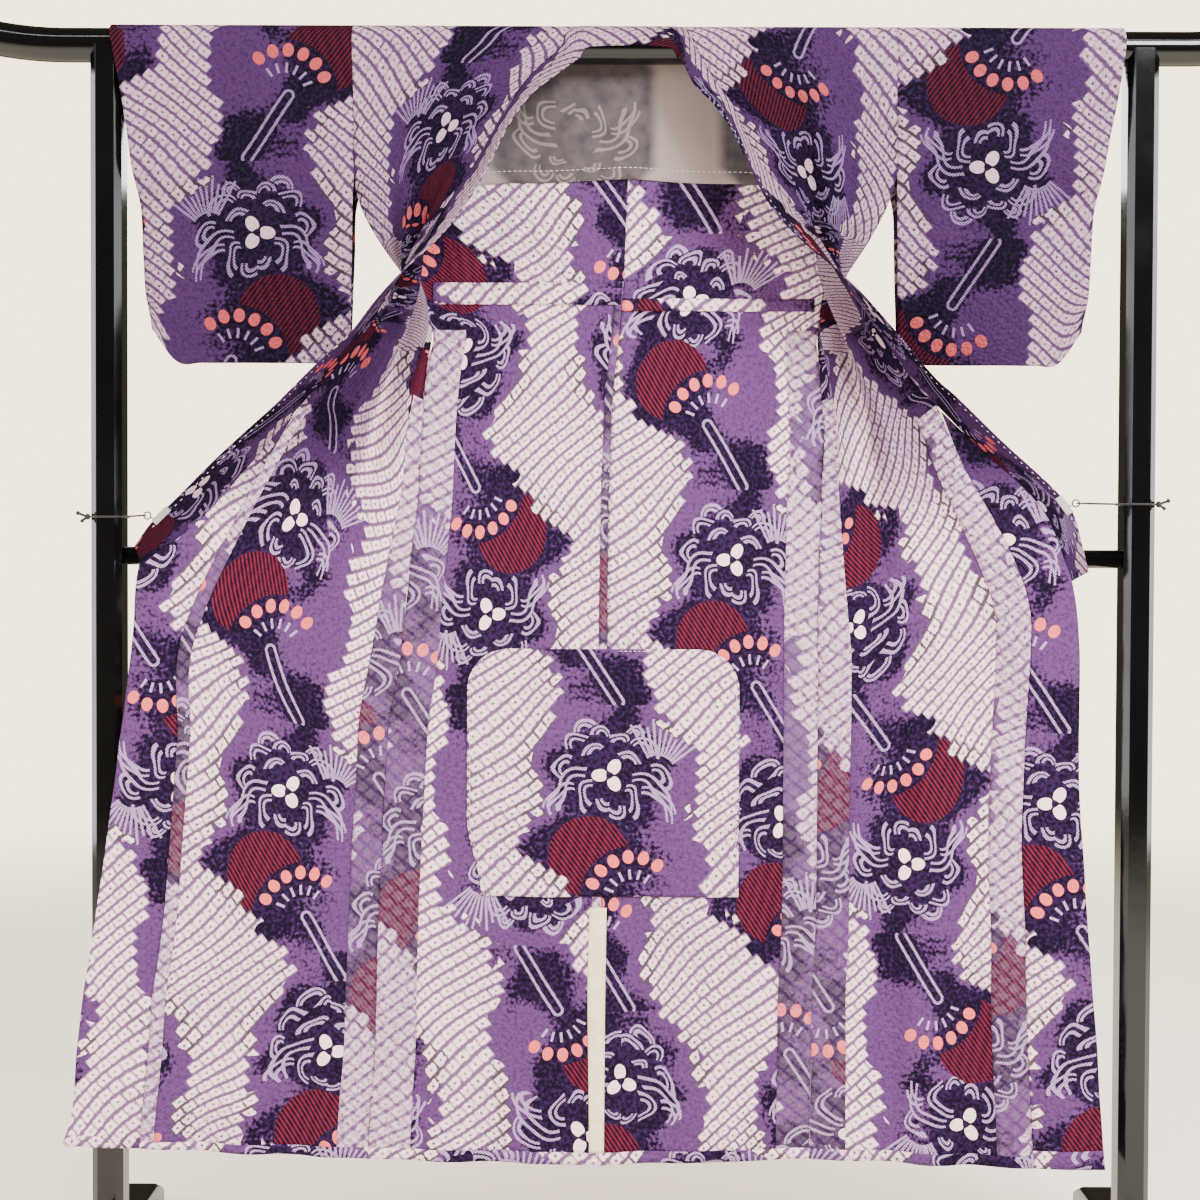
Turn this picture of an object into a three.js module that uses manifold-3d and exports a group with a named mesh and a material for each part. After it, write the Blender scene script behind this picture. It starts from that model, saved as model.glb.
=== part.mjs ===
import * as THREE from 'three';
import { mergeVertices } from 'three/addons/utils/BufferGeometryUtils.js';
import Module from 'manifold-3d';

const wasm = await Module();
wasm.setup();
const { Manifold, Mesh } = wasm;

const group = new THREE.Group();
group.name = 'yukata_on_stand';

const cloth = new THREE.MeshStandardMaterial({ name: 'dyed_cotton', color: 0x8a6aa8, roughness: 0.9 });
const lining = new THREE.MeshStandardMaterial({ name: 'lining_cotton', color: 0xd6d2c6, roughness: 0.9 });
const lacquer = new THREE.MeshStandardMaterial({ name: 'black_lacquer', color: 0x0c0c0e, roughness: 0.15 });
const steelLook = { name: 'clip_steel', color: 0xb8b8bc, metalness: 1, roughness: 0.35 };
const steel = new THREE.MeshStandardMaterial(steelLook);
const blackCord = new THREE.MeshStandardMaterial({ name: 'black_cord', color: 0x141416, roughness: 0.8 });

// named sizes, mm; x to the right of a viewer facing the open front, z up from the floor
const size = {
  wall: 2, liningWall: 1.2, seamGap: 0.3, seamSpare: 0.02, lay: 0.5,
  barZ: 1730, barR: 24, barHalf: 953, barRise: 24, barStraight: 790,
  postX: 732.4, postHalfX: 22, postHalfY: 26, postChamfer: 9, railZ: 1006, railR: 13,
  footW: 56, footD: 450, footH: 46, footEnd: 26, footSlope: 46, footBevel: 4,
  shoulderR: 28.2, shoulderX: 384, sleeveTop: 1760, sleeveBottom: 1281, sleeveCorner: 48, cuffBottom: 1530,
};

const V = (x, y, z) => new THREE.Vector3(x, y, z);
const lerp = (a, b, t) => a + (b - a) * t;
const along = (a, b, t) => a.clone().lerp(b, t);

function smooth(a, b, x) {
  const t = Math.min(1, Math.max(0, (x - a) / (b - a)));
  return t * t * (3 - 2 * t);
}

// value of a column in rows sorted by falling z, in a straight line between rows
function byZ(rows, z, column) {
  const next = rows.findIndex((row) => z >= row[0]);
  if (next === 0) return rows[0][column];
  if (next < 0) return rows[rows.length - 1][column];
  const [above, below] = [rows[next - 1], rows[next]];
  return lerp(above[column], below[column], (above[0] - z) / (above[0] - below[0]));
}

// the back: how far behind or before the bar it hangs, the run of its centre seam, the depth of its folds
//  z, y, centreX, foldDepth
const backRun = [
  [1712, 28.0, 5, 0.0], [1640, 23.5, 5.5, 0.4], [1560, 17.5, 6, 0.8], [1480, 12, 3, 1.2],
  [1400, 6.5, 0, 1.5], [1329, 2.0, -6, 1.7], [1229, -4.5, -16, 1.8], [1087, -13.5, -20.5, 1.6],
  [1006, -18.5, -21.5, 1.4], [915, -20.5, -22, 1.8], [771, -22, -23, 2.6], [590, -22.5, -28, 3.4],
  [381, -23, -31, 4.2], [140, -23.5, -32, 5.0],
];
const centreX = (z) => byZ(backRun, z, 2);
const broadFold = (x, z) => 0.7 * Math.sin(x / 31 + 0.5 + z / 900);
const narrowFold = (x, z) => 0.45 * Math.sin(x / 17.5 - z / 620);
const backY = (x, z) => byZ(backRun, z, 1) + byZ(backRun, z, 3) * (broadFold(x, z) + narrowFold(x, z));

// each front: its line next to the back (side seam, armhole), then its line next to the collar or overlap
//  sideX, sideY, sideZ, innerX, innerY, innerZ, foldDepth
const frontLeft = [
  [-384, -28, 1722, -91, -28, 1722, 0], [-382, -27.5, 1662, -129, -31, 1686, 3],
  [-381, -26.5, 1606, -158, -36, 1649, 5], [-381, -25.5, 1551, -183, -44, 1603, 7],
  [-373, -22, 1502, -210, -52, 1553, 10], [-348, -17, 1454, -243, -60, 1502, 13],
  [-318, -12, 1412, -277, -70, 1448, 16], [-287, -6, 1371, -308, -76, 1400, 18],
  [-273, 0, 1329, -331, -78, 1361, 18], [-279, 0, 1280, -355, -76, 1323, 16],
  [-284, 0, 1229, -395, -68, 1276, 14], [-288, 0, 1170, -435, -60, 1235, 12],
  [-291, 0, 1087, -453, -56, 1216, 10], [-300, 0, 1006, -507, -46, 1127, 8],
  [-310, 0, 915, -565, -38, 1021, 7], [-317, 0, 850, -603, -34, 944, 6], [-330, 0, 771, -629, -32, 863, 6],
  [-335, 0, 700, -629, -31, 754, 6], [-341, 0, 590, -640, -31, 605, 6], [-346, 0, 480, -650, -31, 482, 6],
  [-348, 0, 381, -665, -31, 381, 7], [-350, 0, 300, -671, -31, 300, 7], [-356, 0, 220, -680, -31, 215, 8],
  [-360, 0, 148, -684, -31, 164, 8],
];
const frontRight = [
  [384, -28, 1722, 99, -28, 1722, 0], [383, -27.5, 1665, 127, -31, 1674, 3],
  [385, -26.5, 1606, 150, -36, 1642, 5], [384, -25.5, 1551, 168, -44, 1599, 7],
  [371, -21, 1502, 193, -52, 1554, 10], [346, -16, 1454, 222, -60, 1508, 13],
  [319, -11, 1412, 252, -70, 1461, 16], [293, -6, 1371, 287, -76, 1413, 18],
  [277, 0, 1329, 321, -78, 1366, 18], [279, 0, 1280, 352, -76, 1322, 16],
  [282, 0, 1229, 386, -68, 1276, 14], [286, 0, 1170, 415, -62, 1240, 12],
  [281, 0, 1087, 436, -59, 1221, 10], [279, 0, 1006, 479, -48, 1131, 8], [277, 0, 915, 537, -38, 1033, 7],
  [277, 0, 850, 572, -34, 948, 6], [277, 0, 771, 576, -32, 867, 6], [277, 0, 700, 571, -31, 775, 6],
  [277, 0, 590, 566, -31, 609, 6], [276, 0, 480, 572, -31, 482, 6], [271, 0, 381, 574, -31, 395, 7],
  [271, 0, 300, 577, -31, 304, 7], [270, 0, 220, 583, -31, 215, 8], [269, 0, 150, 587, -31, 140, 8],
];
const closedFrom = 8;   // first front row sewn to the back at the side
const kensaki = 12;     // front row where the overlap panel starts
const backHem = 140;    // z of the back's hem at the centre seam

// outer line of the overlap panels, one row for each front row below the kensaki
//  x, y, z
const overlapLeft = [
  [-522, -46, 1137], [-588, -40, 1064], [-640, -37, 1022], [-681, -35, 998], [-694, -35, 870],
  [-722, -35, 660], [-744, -35, 500], [-762, -35, 387], [-772, -35, 302], [-779, -35, 218], [-792, -35, 169],
];
const overlapRight = [
  [500, -51, 1160], [575, -43, 1094], [606, -39, 1045], [633, -35, 975], [645, -35, 880],
  [646, -35, 700], [657, -35, 530], [667, -35, 405], [675, -35, 310], [681, -35, 222], [688, -35, 139],
];
const tipDrop = 10;     // the overlap's tip lies this far down the wedge below the kensaki

// free edge of the collar, first at front rows 0 to the kensaki, then at the first four overlap rows
//  x, y, z
const collarEdgeLeft = [
  [-72, -46, 1698], [-104, -64, 1670], [-133, -76, 1643], [-163, -86, 1597], [-186, -94, 1547],
  [-214, -103, 1495], [-252, -115, 1444], [-298, -123, 1399], [-336, -125, 1358], [-373, -118, 1312],
  [-416, -108, 1275], [-463, -97, 1231], [-484, -90, 1212], [-560, -66, 1149], [-628, -48, 1086],
  [-664, -41, 1052], [-688, -38, 1020],
];
const collarEdgeRight = [
  [78, -46, 1704], [97, -62, 1662], [120, -76, 1636], [146, -86, 1598], [168, -94, 1552], [194, -103, 1497],
  [229, -115, 1451], [276, -123, 1409], [320, -124, 1369], [360, -117, 1327], [401, -107, 1281],
  [434, -97, 1248], [458, -91, 1229], [524, -74, 1170], [606, -52, 1101], [634, -44, 1066], [656, -38, 988],
];

// shoulder ridge over the bar; angles round the bar, 0 at its front and 90 on top
//  sideAngle, innerAngle, innerX of the left half, innerX of the right half
const shoulder = [
  [30, 22, -84, 92], [70, 60, -75, 82], [105, 95, -65, 71], [130, 116, -50, 57], [150, 127, -26, 34],
  [168, 131, 4, 4],
];
const nape = [178, 160, 5, 5];  // the same for the row just below the neck

// free edge of the collar at the neck: it lies over the bar to its front
//  angle, radius, x left, x right
const neckEdge = [
  [-38, 36, -64, 74], [-24, 31, -59, 69], [-16, 29, -55, 64], [-12, 28.6, -44, 52], [-10, 28.4, -24, 32],
  [-9, 28.4, 4, 4],
];

// upper back, above the closed side seam
//  z at the side, x left, x right, z at the centre
const upperBack = [
  [1700, -383, 383, 1702], [1640, -380, 382, 1640], [1560, -371, 373, 1560], [1480, -350, 352, 1480],
  [1400, -312, 314, 1400],
];

// each sleeve: its outer edge below the bar, and how far its two layers stand from the bar's plane
//  z, outerLeft, outerRight, halfDepth
const sleeveRun = [
  [1760, -726, 705, 28.2], [1722, -721, 704, 28.2], [1697, -716, 702, 27.8], [1612, -702, 686, 26.4],
  [1551, -694, 676, 24.5], [1500, -687, 668, 21.5], [1440, -684, 665, 18], [1380, -681, 662, 14],
  [1330, -677, 658, 9], [1281, -672, 652, 1.2],
];
const lowerSleeve = [1500, 1440, 1380, 1330, 1298, 1281];  // z of the rows below the sewn armhole
const sleeveInner = [[-388, -383], [389, 385]];  // x of its inner edge at the hem and at the armhole

function onBar(x, degrees, radius) {
  const angle = THREE.MathUtils.degToRad(degrees);
  return V(x, -radius * Math.cos(angle), size.barZ + radius * Math.sin(angle));
}

const evenly = (count, make) => Array.from({ length: count }, (_, k) => make(k / (count - 1), k));

const bodyColumns = 11;
const bodyWaves = 2.5;

// one full length of cloth: front hem, front, shoulder, back, back hem
function bodyRows(side) {
  const left = side < 0;
  const table = left ? frontLeft : frontRight;
  const across = (make) => evenly(bodyColumns, make);
  const onBack = (x0, z0, z1) => across((u) => {
    const z = lerp(z0, z1, u);
    const x = lerp(x0, centreX(z), u);
    return V(x, backY(x, z), z);
  });
  const front = table.map(([sideX, sideY, sideZ, innerX, innerY, innerZ, depth], i) => {
    const S = V(sideX, i >= closedFrom ? backY(sideX, sideZ) : sideY, sideZ);
    const run = V(innerX, innerY, innerZ).sub(S);
    const out = V(-side * run.y, side * run.x, 0).divideScalar(Math.hypot(run.x, run.y));
    out.lerp(V(0, 1, 0), smooth(9, 17, i)).normalize();
    const wave = (u) => Math.sin(Math.PI * u) * Math.sin(2 * Math.PI * bodyWaves * u + 0.5 + i * 0.09);
    return across((u) => S.clone().addScaledVector(run, u).addScaledVector(out, depth * wave(u)));
  });
  const ridge = [...shoulder, nape].map(([sideAngle, innerAngle, innerLeft, innerRight]) => across((u) => {
    const x = lerp(size.shoulderX * side, left ? innerLeft : innerRight, u);
    return onBar(x, lerp(sideAngle, innerAngle, u * u * u), size.shoulderR);
  }));
  const upper = upperBack.map(([sideZ, xLeft, xRight, midZ]) => onBack(left ? xLeft : xRight, sideZ, midZ));
  const lower = table.slice(closedFrom).map(([sideX, , sideZ], j, all) => {
    const middle = lerp(frontLeft[closedFrom + j][2], frontRight[closedFrom + j][2], 0.5);
    return onBack(sideX, sideZ, j === all.length - 1 ? backHem : middle);
  });
  return [...front.reverse(), ...ridge, ...upper, ...lower];
}

function overlapRows(side) {
  const left = side < 0;
  const seam = (left ? frontLeft : frontRight).map((row) => V(...row.slice(3, 6)));
  const outer = (left ? overlapLeft : overlapRight).map((row) => V(...row));
  const down = along(seam[kensaki + 1], outer[0], 0.5).sub(seam[kensaki]).normalize();
  const tip = seam[kensaki].clone().addScaledVector(down, tipDrop);
  const rows = outer.map((edge, i) => evenly(4, (u) => {
    const belly = (i > 1 ? 4 : 1) * Math.sin(Math.PI * u);
    return along(seam[kensaki + 1 + i], edge, u).sub(V(0, belly, 0));
  }));
  return [evenly(4, () => tip.clone()), ...rows];
}

// from the left end of the collar, round the neck, to its right end
function collarRows() {
  const half = (side) => {
    const left = side < 0;
    const front = left ? frontLeft : frontRight;
    const over = left ? overlapLeft : overlapRight;
    const edges = left ? collarEdgeLeft : collarEdgeRight;
    const hanging = edges.map((edge, i) => {
      const seam = i <= kensaki ? V(...front[i].slice(3, 6)) : V(...over[i - kensaki - 1]);
      return evenly(5, (u) => along(seam, V(...edge), u));
    });
    const neck = shoulder.map(([, innerAngle, innerLeft, innerRight], i) => {
      const [angle, radius, edgeLeft, edgeRight] = neckEdge[i];
      const [seamX, edgeX] = left ? [innerLeft, edgeLeft] : [innerRight, edgeRight];
      return evenly(5, (u) => {
        const degrees = lerp(innerAngle, angle, u);
        return onBar(lerp(seamX, edgeX, u), degrees, lerp(size.shoulderR, radius, u));
      });
    });
    return [...hanging.reverse(), ...neck];
  };
  return [...half(-1), ...half(1).reverse().slice(1)];
}

// one sheet folded along its bottom: up the front, over the bar, down the back; open at cuff and body
function sleeveRows(side) {
  const left = side < 0;
  const table = left ? frontLeft : frontRight;
  const outerX = (z) => byZ(sleeveRun, z, left ? 1 : 2);
  const depth = (z) => byZ(sleeveRun, z, 3);
  const hem = size.sleeveBottom;
  const flat = depth(hem);
  const roundFrom = Math.abs(outerX(hem)) - size.sleeveCorner;
  const across = (inner, z, face) => evenly(9, (u, k) => {
    if (k === 0) return inner.clone();
    const x = lerp(inner.x, outerX(z), u);
    const past = Math.min(size.sleeveCorner, Math.max(0, Math.abs(x) - roundFrom));
    const lift = size.sleeveCorner - Math.sqrt(size.sleeveCorner ** 2 - past ** 2);
    const sewnCuff = smooth(size.cuffBottom + 22, size.cuffBottom - 30, z) * smooth(0.55, 1, u);
    const shut = Math.max(sewnCuff, past > 0 ? smooth(1360, hem, z) : 0);
    const half = lerp(depth(z), flat, shut);
    const ends = Math.sin(Math.PI * u) * smooth(1700, 1500, z) * smooth(hem, 1380, z) * (1 - sewnCuff);
    const ripple = 2.2 * ends * Math.sin(9 * u + z / 150);
    const y = (k === 1 ? lerp(Math.abs(inner.y), half, 0.75) : half) + ripple;
    return V(x, face * y, z + lift * smooth(1400, hem, z));
  });
  const innerX = (z) => lerp(...sleeveInner[left ? 0 : 1], smooth(hem, 1551, z));
  const below = (z, face) => across(V(innerX(z), face * depth(z), z), z, face);
  const armhole = table.slice(0, 4).map((row) => across(V(...row.slice(0, 3)), row[2], -1));
  const overBar = [...shoulder, nape].map(([sideAngle]) => evenly(9, (u) => {
    return onBar(lerp(size.shoulderX * side, outerX(size.sleeveTop), u), sideAngle, size.shoulderR);
  }));
  const behind = upperBack.slice(0, 3).map(([z, xLeft, xRight]) => {
    const x = left ? xLeft : xRight;
    return across(V(x, backY(x, z), z), z, 1);
  });
  return [
    ...[...lowerSleeve].reverse().map((z) => below(z, -1)), ...armhole.reverse(), ...overBar, ...behind,
    ...lowerSleeve.map((z) => below(z, 1)),
  ];
}

// unit normals of a grid of rows; cloth on the bar takes the bar's own, outwards where radial is 1
function normalsOf(rows, radial = 0) {
  const onTheBar = (p) => Math.abs(Math.hypot(p.y, p.z - size.barZ) - size.shoulderR) < 0.02 && p.z > 1723;
  return rows.map((row, i) => row.map((p, k) => {
    if (radial && onTheBar(p)) return V(0, p.y, p.z - size.barZ).normalize().multiplyScalar(radial);
    const a = row[Math.min(k + 1, row.length - 1)].clone().sub(row[Math.max(k - 1, 0)]);
    const b = rows[Math.min(i + 1, rows.length - 1)][k].clone().sub(rows[Math.max(i - 1, 0)][k]);
    if (a.length() < 0.01) a.copy(rows[i + 1][row.length - 1]).sub(rows[i + 1][0]);
    return a.cross(b).normalize();
  }));
}

const bodyLeft = bodyRows(-1);
const bodyRight = bodyRows(1);
const napeRow = frontLeft.length + shoulder.length;

// the lining hangs inside the upper back, made from the back's own points moved to the front
function liningRows() {
  const off = size.wall / 2 + size.lay + size.liningWall / 2;
  const rows = bodyLeft.slice(napeRow, napeRow + 5).map((row, i) => {
    return [...row.slice(1), ...bodyRight[napeRow + i].slice(1, -1).reverse()];
  });
  const normals = normalsOf(rows);
  const moved = rows.map((row, i) => row.map((p, k) => {
    const n = normals[i][k];
    return p.clone().addScaledVector(n, n.y > 0 ? -off : off);
  }));
  const hem = (x) => 1540 - 14 * smooth(150, 330, Math.abs(x)) + 6 * smooth(120, 0, Math.abs(x));
  const last = moved[3].map((p, k) => along(p, moved[4][k], (p.z - hem(p.x)) / (p.z - moved[4][k].z)));
  return [...moved.slice(0, 4), last];
}

// y of the back's facets at a place on it
function facetY(x, z) {
  for (const grid of [bodyLeft, bodyRight]) {
    const inRow = (row, j) => z <= row[0].z && z >= grid[j + 1][0].z;
    const i = grid.findIndex((row, j) => j > napeRow && j < grid.length - 1 && inRow(row, j));
    const t = (grid[i][0].z - z) / (grid[i][0].z - grid[i + 1][0].z);
    const row = grid[i].map((p, k) => along(p, grid[i + 1][k], t));
    for (let k = 0; k < bodyColumns - 1; k++) {
      const u = (x - row[k].x) / (row[k + 1].x - row[k].x);
      if (u >= 0 && u <= 1) return lerp(row[k].y, row[k + 1].y, u);
    }
  }
  return backY(x, z);
}

const patch = { top: 876, round: 58, right: 166, leftTop: -220, leftBottom: -200, stand: 0.6 };
const patchZ = [524, 557, 590, 645, 700, 735, 771, 800, 818, 834, 850, 864, 876];
function patchRows() {
  const off = size.wall + size.lay + patch.stand;
  return patchZ.map((z) => {
    const rise = Math.max(0, z - (patch.top - patch.round));
    const cut = patch.round - Math.sqrt(Math.max(0, patch.round ** 2 - rise ** 2));
    const x0 = lerp(patch.leftBottom, patch.leftTop, smooth(patchZ[0], 640, z)) + cut;
    return evenly(19, (u) => {
      const x = lerp(x0, patch.right - cut, u);
      return V(x, facetY(x, z) - off, z);
    });
  });
}

// a cloth piece: rows of points on its middle surface; neighbours share their seam points
const pieces = [
  { name: 'body_left', rows: bodyLeft, radial: 1 },
  { name: 'body_right', rows: bodyRight, radial: -1 },
  { name: 'overlap_left', rows: overlapRows(-1) },
  { name: 'overlap_right', rows: overlapRows(1) },
  { name: 'collar', rows: collarRows(), radial: 1 },
  { name: 'sleeve_left', rows: sleeveRows(-1), radial: -1 },
  { name: 'sleeve_right', rows: sleeveRows(1), radial: 1 },
  { name: 'shoulder_lining', rows: liningRows(), wall: size.liningWall, material: lining },
  { name: 'seat_patch', rows: patchRows() },
];

// at a seam the pieces take one shared normal, so that their walls end on one plane
function shareSeamNormals() {
  const places = new Map();
  for (const piece of pieces) {
    piece.normals = normalsOf(piece.rows, piece.radial);
    piece.seam = new Set();
    piece.rows.forEach((row, i) => row.forEach((p, k) => {
      if (i > 0 && i < piece.rows.length - 1 && k > 0 && k < row.length - 1) return;
      const key = p.toArray().map((c) => Math.round(c * 50)).join();
      if (!places.has(key)) places.set(key, []);
      places.get(key).push({ piece, i, k });
    }));
  }
  for (const meeting of [...places.values()].filter((list) => list.length > 1)) {
    const first = meeting[0].piece.normals[meeting[0].i][meeting[0].k];
    const sum = V(0, 0, 0);
    for (const { piece, i, k } of meeting) {
      const n = piece.normals[i][k];
      sum.addScaledVector(n, n.dot(first) < 0 ? -1 : 1);
    }
    sum.normalize();
    for (const { piece, i, k } of meeting) {
      piece.normals[i][k] = sum.clone().multiplyScalar(piece.normals[i][k].dot(sum) < 0 ? -1 : 1);
      piece.seam.add(`${i},${k}`);
    }
  }
}

// seam points drawn back by half the seam's gap, square to the seam and within the cloth
function drawnBack(piece) {
  const { rows, normals, seam } = piece;
  const lastRow = rows.length - 1;
  const lastColumn = rows[0].length - 1;
  return rows.map((row, i) => row.map((p, k) => {
    if (!seam.has(`${i},${k}`)) return p.clone();
    const move = V(0, 0, 0);
    const inward = (before, after, inner) => {
      const across = after.clone().sub(before).cross(normals[i][k]).normalize();
      move.addScaledVector(across, across.dot(inner.clone().sub(p)) < 0 ? -1 : 1);
    };
    const [above, below] = [rows[Math.max(i - 1, 0)], rows[Math.min(i + 1, lastRow)]];
    const [before, after] = [row[Math.max(k - 1, 0)], row[Math.min(k + 1, lastColumn)]];
    if (k === 0) inward(above[0], below[0], row[1]);
    if (k === lastColumn) inward(above[k], below[k], row[k - 1]);
    if (i === 0) inward(before, after, rows[1][k]);
    if (i === lastRow) inward(before, after, rows[i - 1][k]);
    return p.clone().addScaledVector(move, size.seamGap / 2 + size.seamSpare);
  }));
}

// a closed wall: both faces of the cloth and its four rims
function clothWall(piece) {
  const middle = drawnBack(piece);
  const R = middle.length;
  const C = middle[0].length;
  const half = (piece.wall ?? size.wall) / 2;
  const points = [1, -1].flatMap((s) => middle.flatMap((row, i) => row.map((p, k) => {
    return p.clone().addScaledVector(piece.normals[i][k], s * half);
  })));
  const index = [];
  const at = (face, i, k) => (face * R + i) * C + k;
  const triangle = (...corners) => {
    const [a, b, c] = corners.map((n) => points[n]);
    const shortest = Math.min(a.distanceTo(b), b.distanceTo(c), a.distanceTo(c));
    if (shortest > 0.01) index.push(...corners);
  };
  const quad = (a, b, c, d) => {
    triangle(a, b, c);
    triangle(a, c, d);
  };
  for (let i = 0; i < R - 1; i++) {
    for (let k = 0; k < C - 1; k++) {
      quad(at(0, i, k), at(0, i, k + 1), at(0, i + 1, k + 1), at(0, i + 1, k));
      quad(at(1, i, k), at(1, i + 1, k), at(1, i + 1, k + 1), at(1, i, k + 1));
    }
    quad(at(0, i + 1, 0), at(1, i + 1, 0), at(1, i, 0), at(0, i, 0));
    quad(at(0, i + 1, C - 1), at(0, i, C - 1), at(1, i, C - 1), at(1, i + 1, C - 1));
  }
  for (let k = 0; k < C - 1; k++) {
    quad(at(0, 0, k + 1), at(0, 0, k), at(1, 0, k), at(1, 0, k + 1));
    quad(at(0, R - 1, k), at(0, R - 1, k + 1), at(1, R - 1, k + 1), at(1, R - 1, k));
  }
  const geometry = new THREE.BufferGeometry().setFromPoints(points);
  geometry.setIndex(index);
  geometry.computeVertexNormals();
  const mesh = new THREE.Mesh(geometry, piece.material ?? cloth);
  mesh.name = piece.name;
  return mesh;
}
shareSeamNormals();
group.add(...pieces.map(clothWall));

function addMesh(geometry, name, material) {
  const mesh = new THREE.Mesh(geometry, material);
  mesh.name = name;
  group.add(mesh);
}

// a closed geometry as an exact solid, to be joined or cut
function solidOf(geometry, matrix = new THREE.Matrix4()) {
  const plain = geometry.clone();
  plain.deleteAttribute('normal');
  plain.deleteAttribute('uv');
  const merged = mergeVertices(plain, 1e-4).applyMatrix4(matrix);
  const vertProperties = new Float32Array(merged.attributes.position.array);
  const triVerts = new Uint32Array(merged.index.array);
  return new Manifold(new Mesh({ numProp: 3, vertProperties, triVerts }));
}

function addSolid(solid, name, material) {
  const made = solid.getMesh();
  const geometry = new THREE.BufferGeometry();
  geometry.setAttribute('position', new THREE.Float32BufferAttribute(made.vertProperties, 3));
  geometry.setIndex(Array.from(made.triVerts));
  geometry.computeVertexNormals();
  addMesh(geometry, name, material);
}

const placed = (x, y, z) => new THREE.Matrix4().makeTranslation(x, y, z);
const ball = (p, radius) => solidOf(new THREE.SphereGeometry(radius, 10, 6), placed(p.x, p.y, p.z));

function rod(a, b, radius, sides = 20) {
  const run = b.clone().sub(a);
  const turn = new THREE.Quaternion().setFromUnitVectors(V(0, 1, 0), run.clone().normalize());
  const matrix = new THREE.Matrix4().compose(along(a, b, 0.5), turn, V(1, 1, 1));
  return solidOf(new THREE.CylinderGeometry(radius, radius, run.length(), sides), matrix);
}

// a wire ring whose axis is the unit vector given
function wireRing(centre, radius, wire, axis, around) {
  const turn = new THREE.Quaternion().setFromUnitVectors(V(0, 0, 1), axis);
  const matrix = new THREE.Matrix4().compose(centre, turn, V(1, 1, 1));
  return solidOf(new THREE.TorusGeometry(radius, wire, 6, around), matrix);
}

// the top bar is straight between the posts and rises towards its ends
class BarLine extends THREE.Curve {
  getPoint(t) {
    const x = lerp(-size.barHalf, size.barHalf, t);
    const rise = Math.max(0, (Math.abs(x) - size.barStraight) / (size.barHalf - size.barStraight));
    return V(x, 0, size.barZ + size.barRise * rise * rise);
  }
}
const barRound = new THREE.Shape().absarc(0, 0, size.barR, 0, 2 * Math.PI);
const barOptions = { extrudePath: new BarLine(), steps: 32, curveSegments: 12 };
addMesh(new THREE.ExtrudeGeometry(barRound, barOptions), 'top_bar', lacquer);

// plan of a post, its corners cut off, grown by a margin
function octagon(centre, grow) {
  const halfX = size.postHalfX + grow;
  const halfY = size.postHalfY + grow;
  const cut = size.postChamfer + grow * 0.59;
  return [[1, 1], [-1, 1], [-1, -1], [1, -1]].flatMap(([sx, sy]) => {
    const corner = [[centre + sx * halfX, sy * (halfY - cut)], [centre + sx * (halfX - cut), sy * halfY]];
    return sx * sy > 0 ? corner : corner.reverse();
  });
}

// side view of a foot: a block whose two ends slope down
const footOutline = (() => {
  const [D, W, S] = [size.footD / 2, size.footH, size.footSlope];
  const half = [[D, 0], [D, size.footEnd], [D - S, W]];
  return [...half, ...half.map(([y, z]) => [-y, z]).reverse()];
})();

function addPostAndFoot(side, word) {
  const x = side * size.postX;
  const plan = new THREE.Shape(octagon(x, 0).map(([px, py]) => new THREE.Vector2(px, py)));
  const from = size.footH + size.seamGap;
  const column = new THREE.ExtrudeGeometry(plan, { depth: size.barZ - 4 - from, bevelEnabled: false });
  const saddle = rod(V(x - 60, 0, size.barZ), V(x + 60, 0, size.barZ), size.barR + 0.2, 24);
  addSolid(solidOf(column, placed(0, 0, from)).subtract(saddle), `post_${word}`, lacquer);

  const b = size.footBevel;
  const outline = new THREE.Shape(footOutline.map(([y, z]) => new THREE.Vector2(y, z)));
  const bevel = { bevelThickness: b, bevelSize: b, bevelOffset: -b, bevelSegments: 1 };
  const foot = new THREE.ExtrudeGeometry(outline, { depth: size.footW - 2 * b, ...bevel });
  foot.applyMatrix4(new THREE.Matrix4().makeBasis(V(0, 1, 0), V(0, 0, 1), V(1, 0, 0)));
  foot.translate(x - size.footW / 2 + b, 0, 0);
  addMesh(foot, `foot_${word}`, lacquer);
}
addPostAndFoot(-1, 'left');
addPostAndFoot(1, 'right');

const railEnd = size.postX - size.postHalfX - size.seamGap;
const rail = new THREE.CylinderGeometry(size.railR, size.railR, 2 * railEnd, 20);
rail.rotateZ(Math.PI / 2).translate(0, 0, size.railZ);
addMesh(rail, 'mid_rail', lacquer);

// a spring clip on the collar's free edge with a ring, and the cord that ties the ring to the post
//  from and to on the collar's free edge, its seam there, and where along the edge the clip sits
const holds = [
  { side: -1, word: 'left', from: [-628, -48, 1086], to: [-664, -41, 1052], seam: [-614, -38.5, 1043],
    at: 0.62, ringAlong: 15, ringOut: 11, cordZ: 1061 },
  { side: 1, word: 'right', from: [606, -52, 1101], to: [634, -44, 1066], seam: [590, -41, 1070],
    at: 0.5, ringAlong: 8, ringOut: 12, cordZ: 1084 },
];
const clip = {
  length: 30, width: 9.6, thick: 6.2, slot: 4, slotWidth: 9, slotIn: 1.4, reach: 2.4,
  ringR: 5, wire: 1, stem: 1.1, root: 1.6,
};
const tie = { radius: 1.4, hookR: 3.4, hookWire: 1.2, knotR: 4.6, knotOut: 5, knotY: -18, lobeR: 1.9 };
const lobes = [{ out: 13, forward: -2, up: 5, end: 3.2 }, { out: 7, forward: -3, up: -6, end: 2.8 }];

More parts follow.
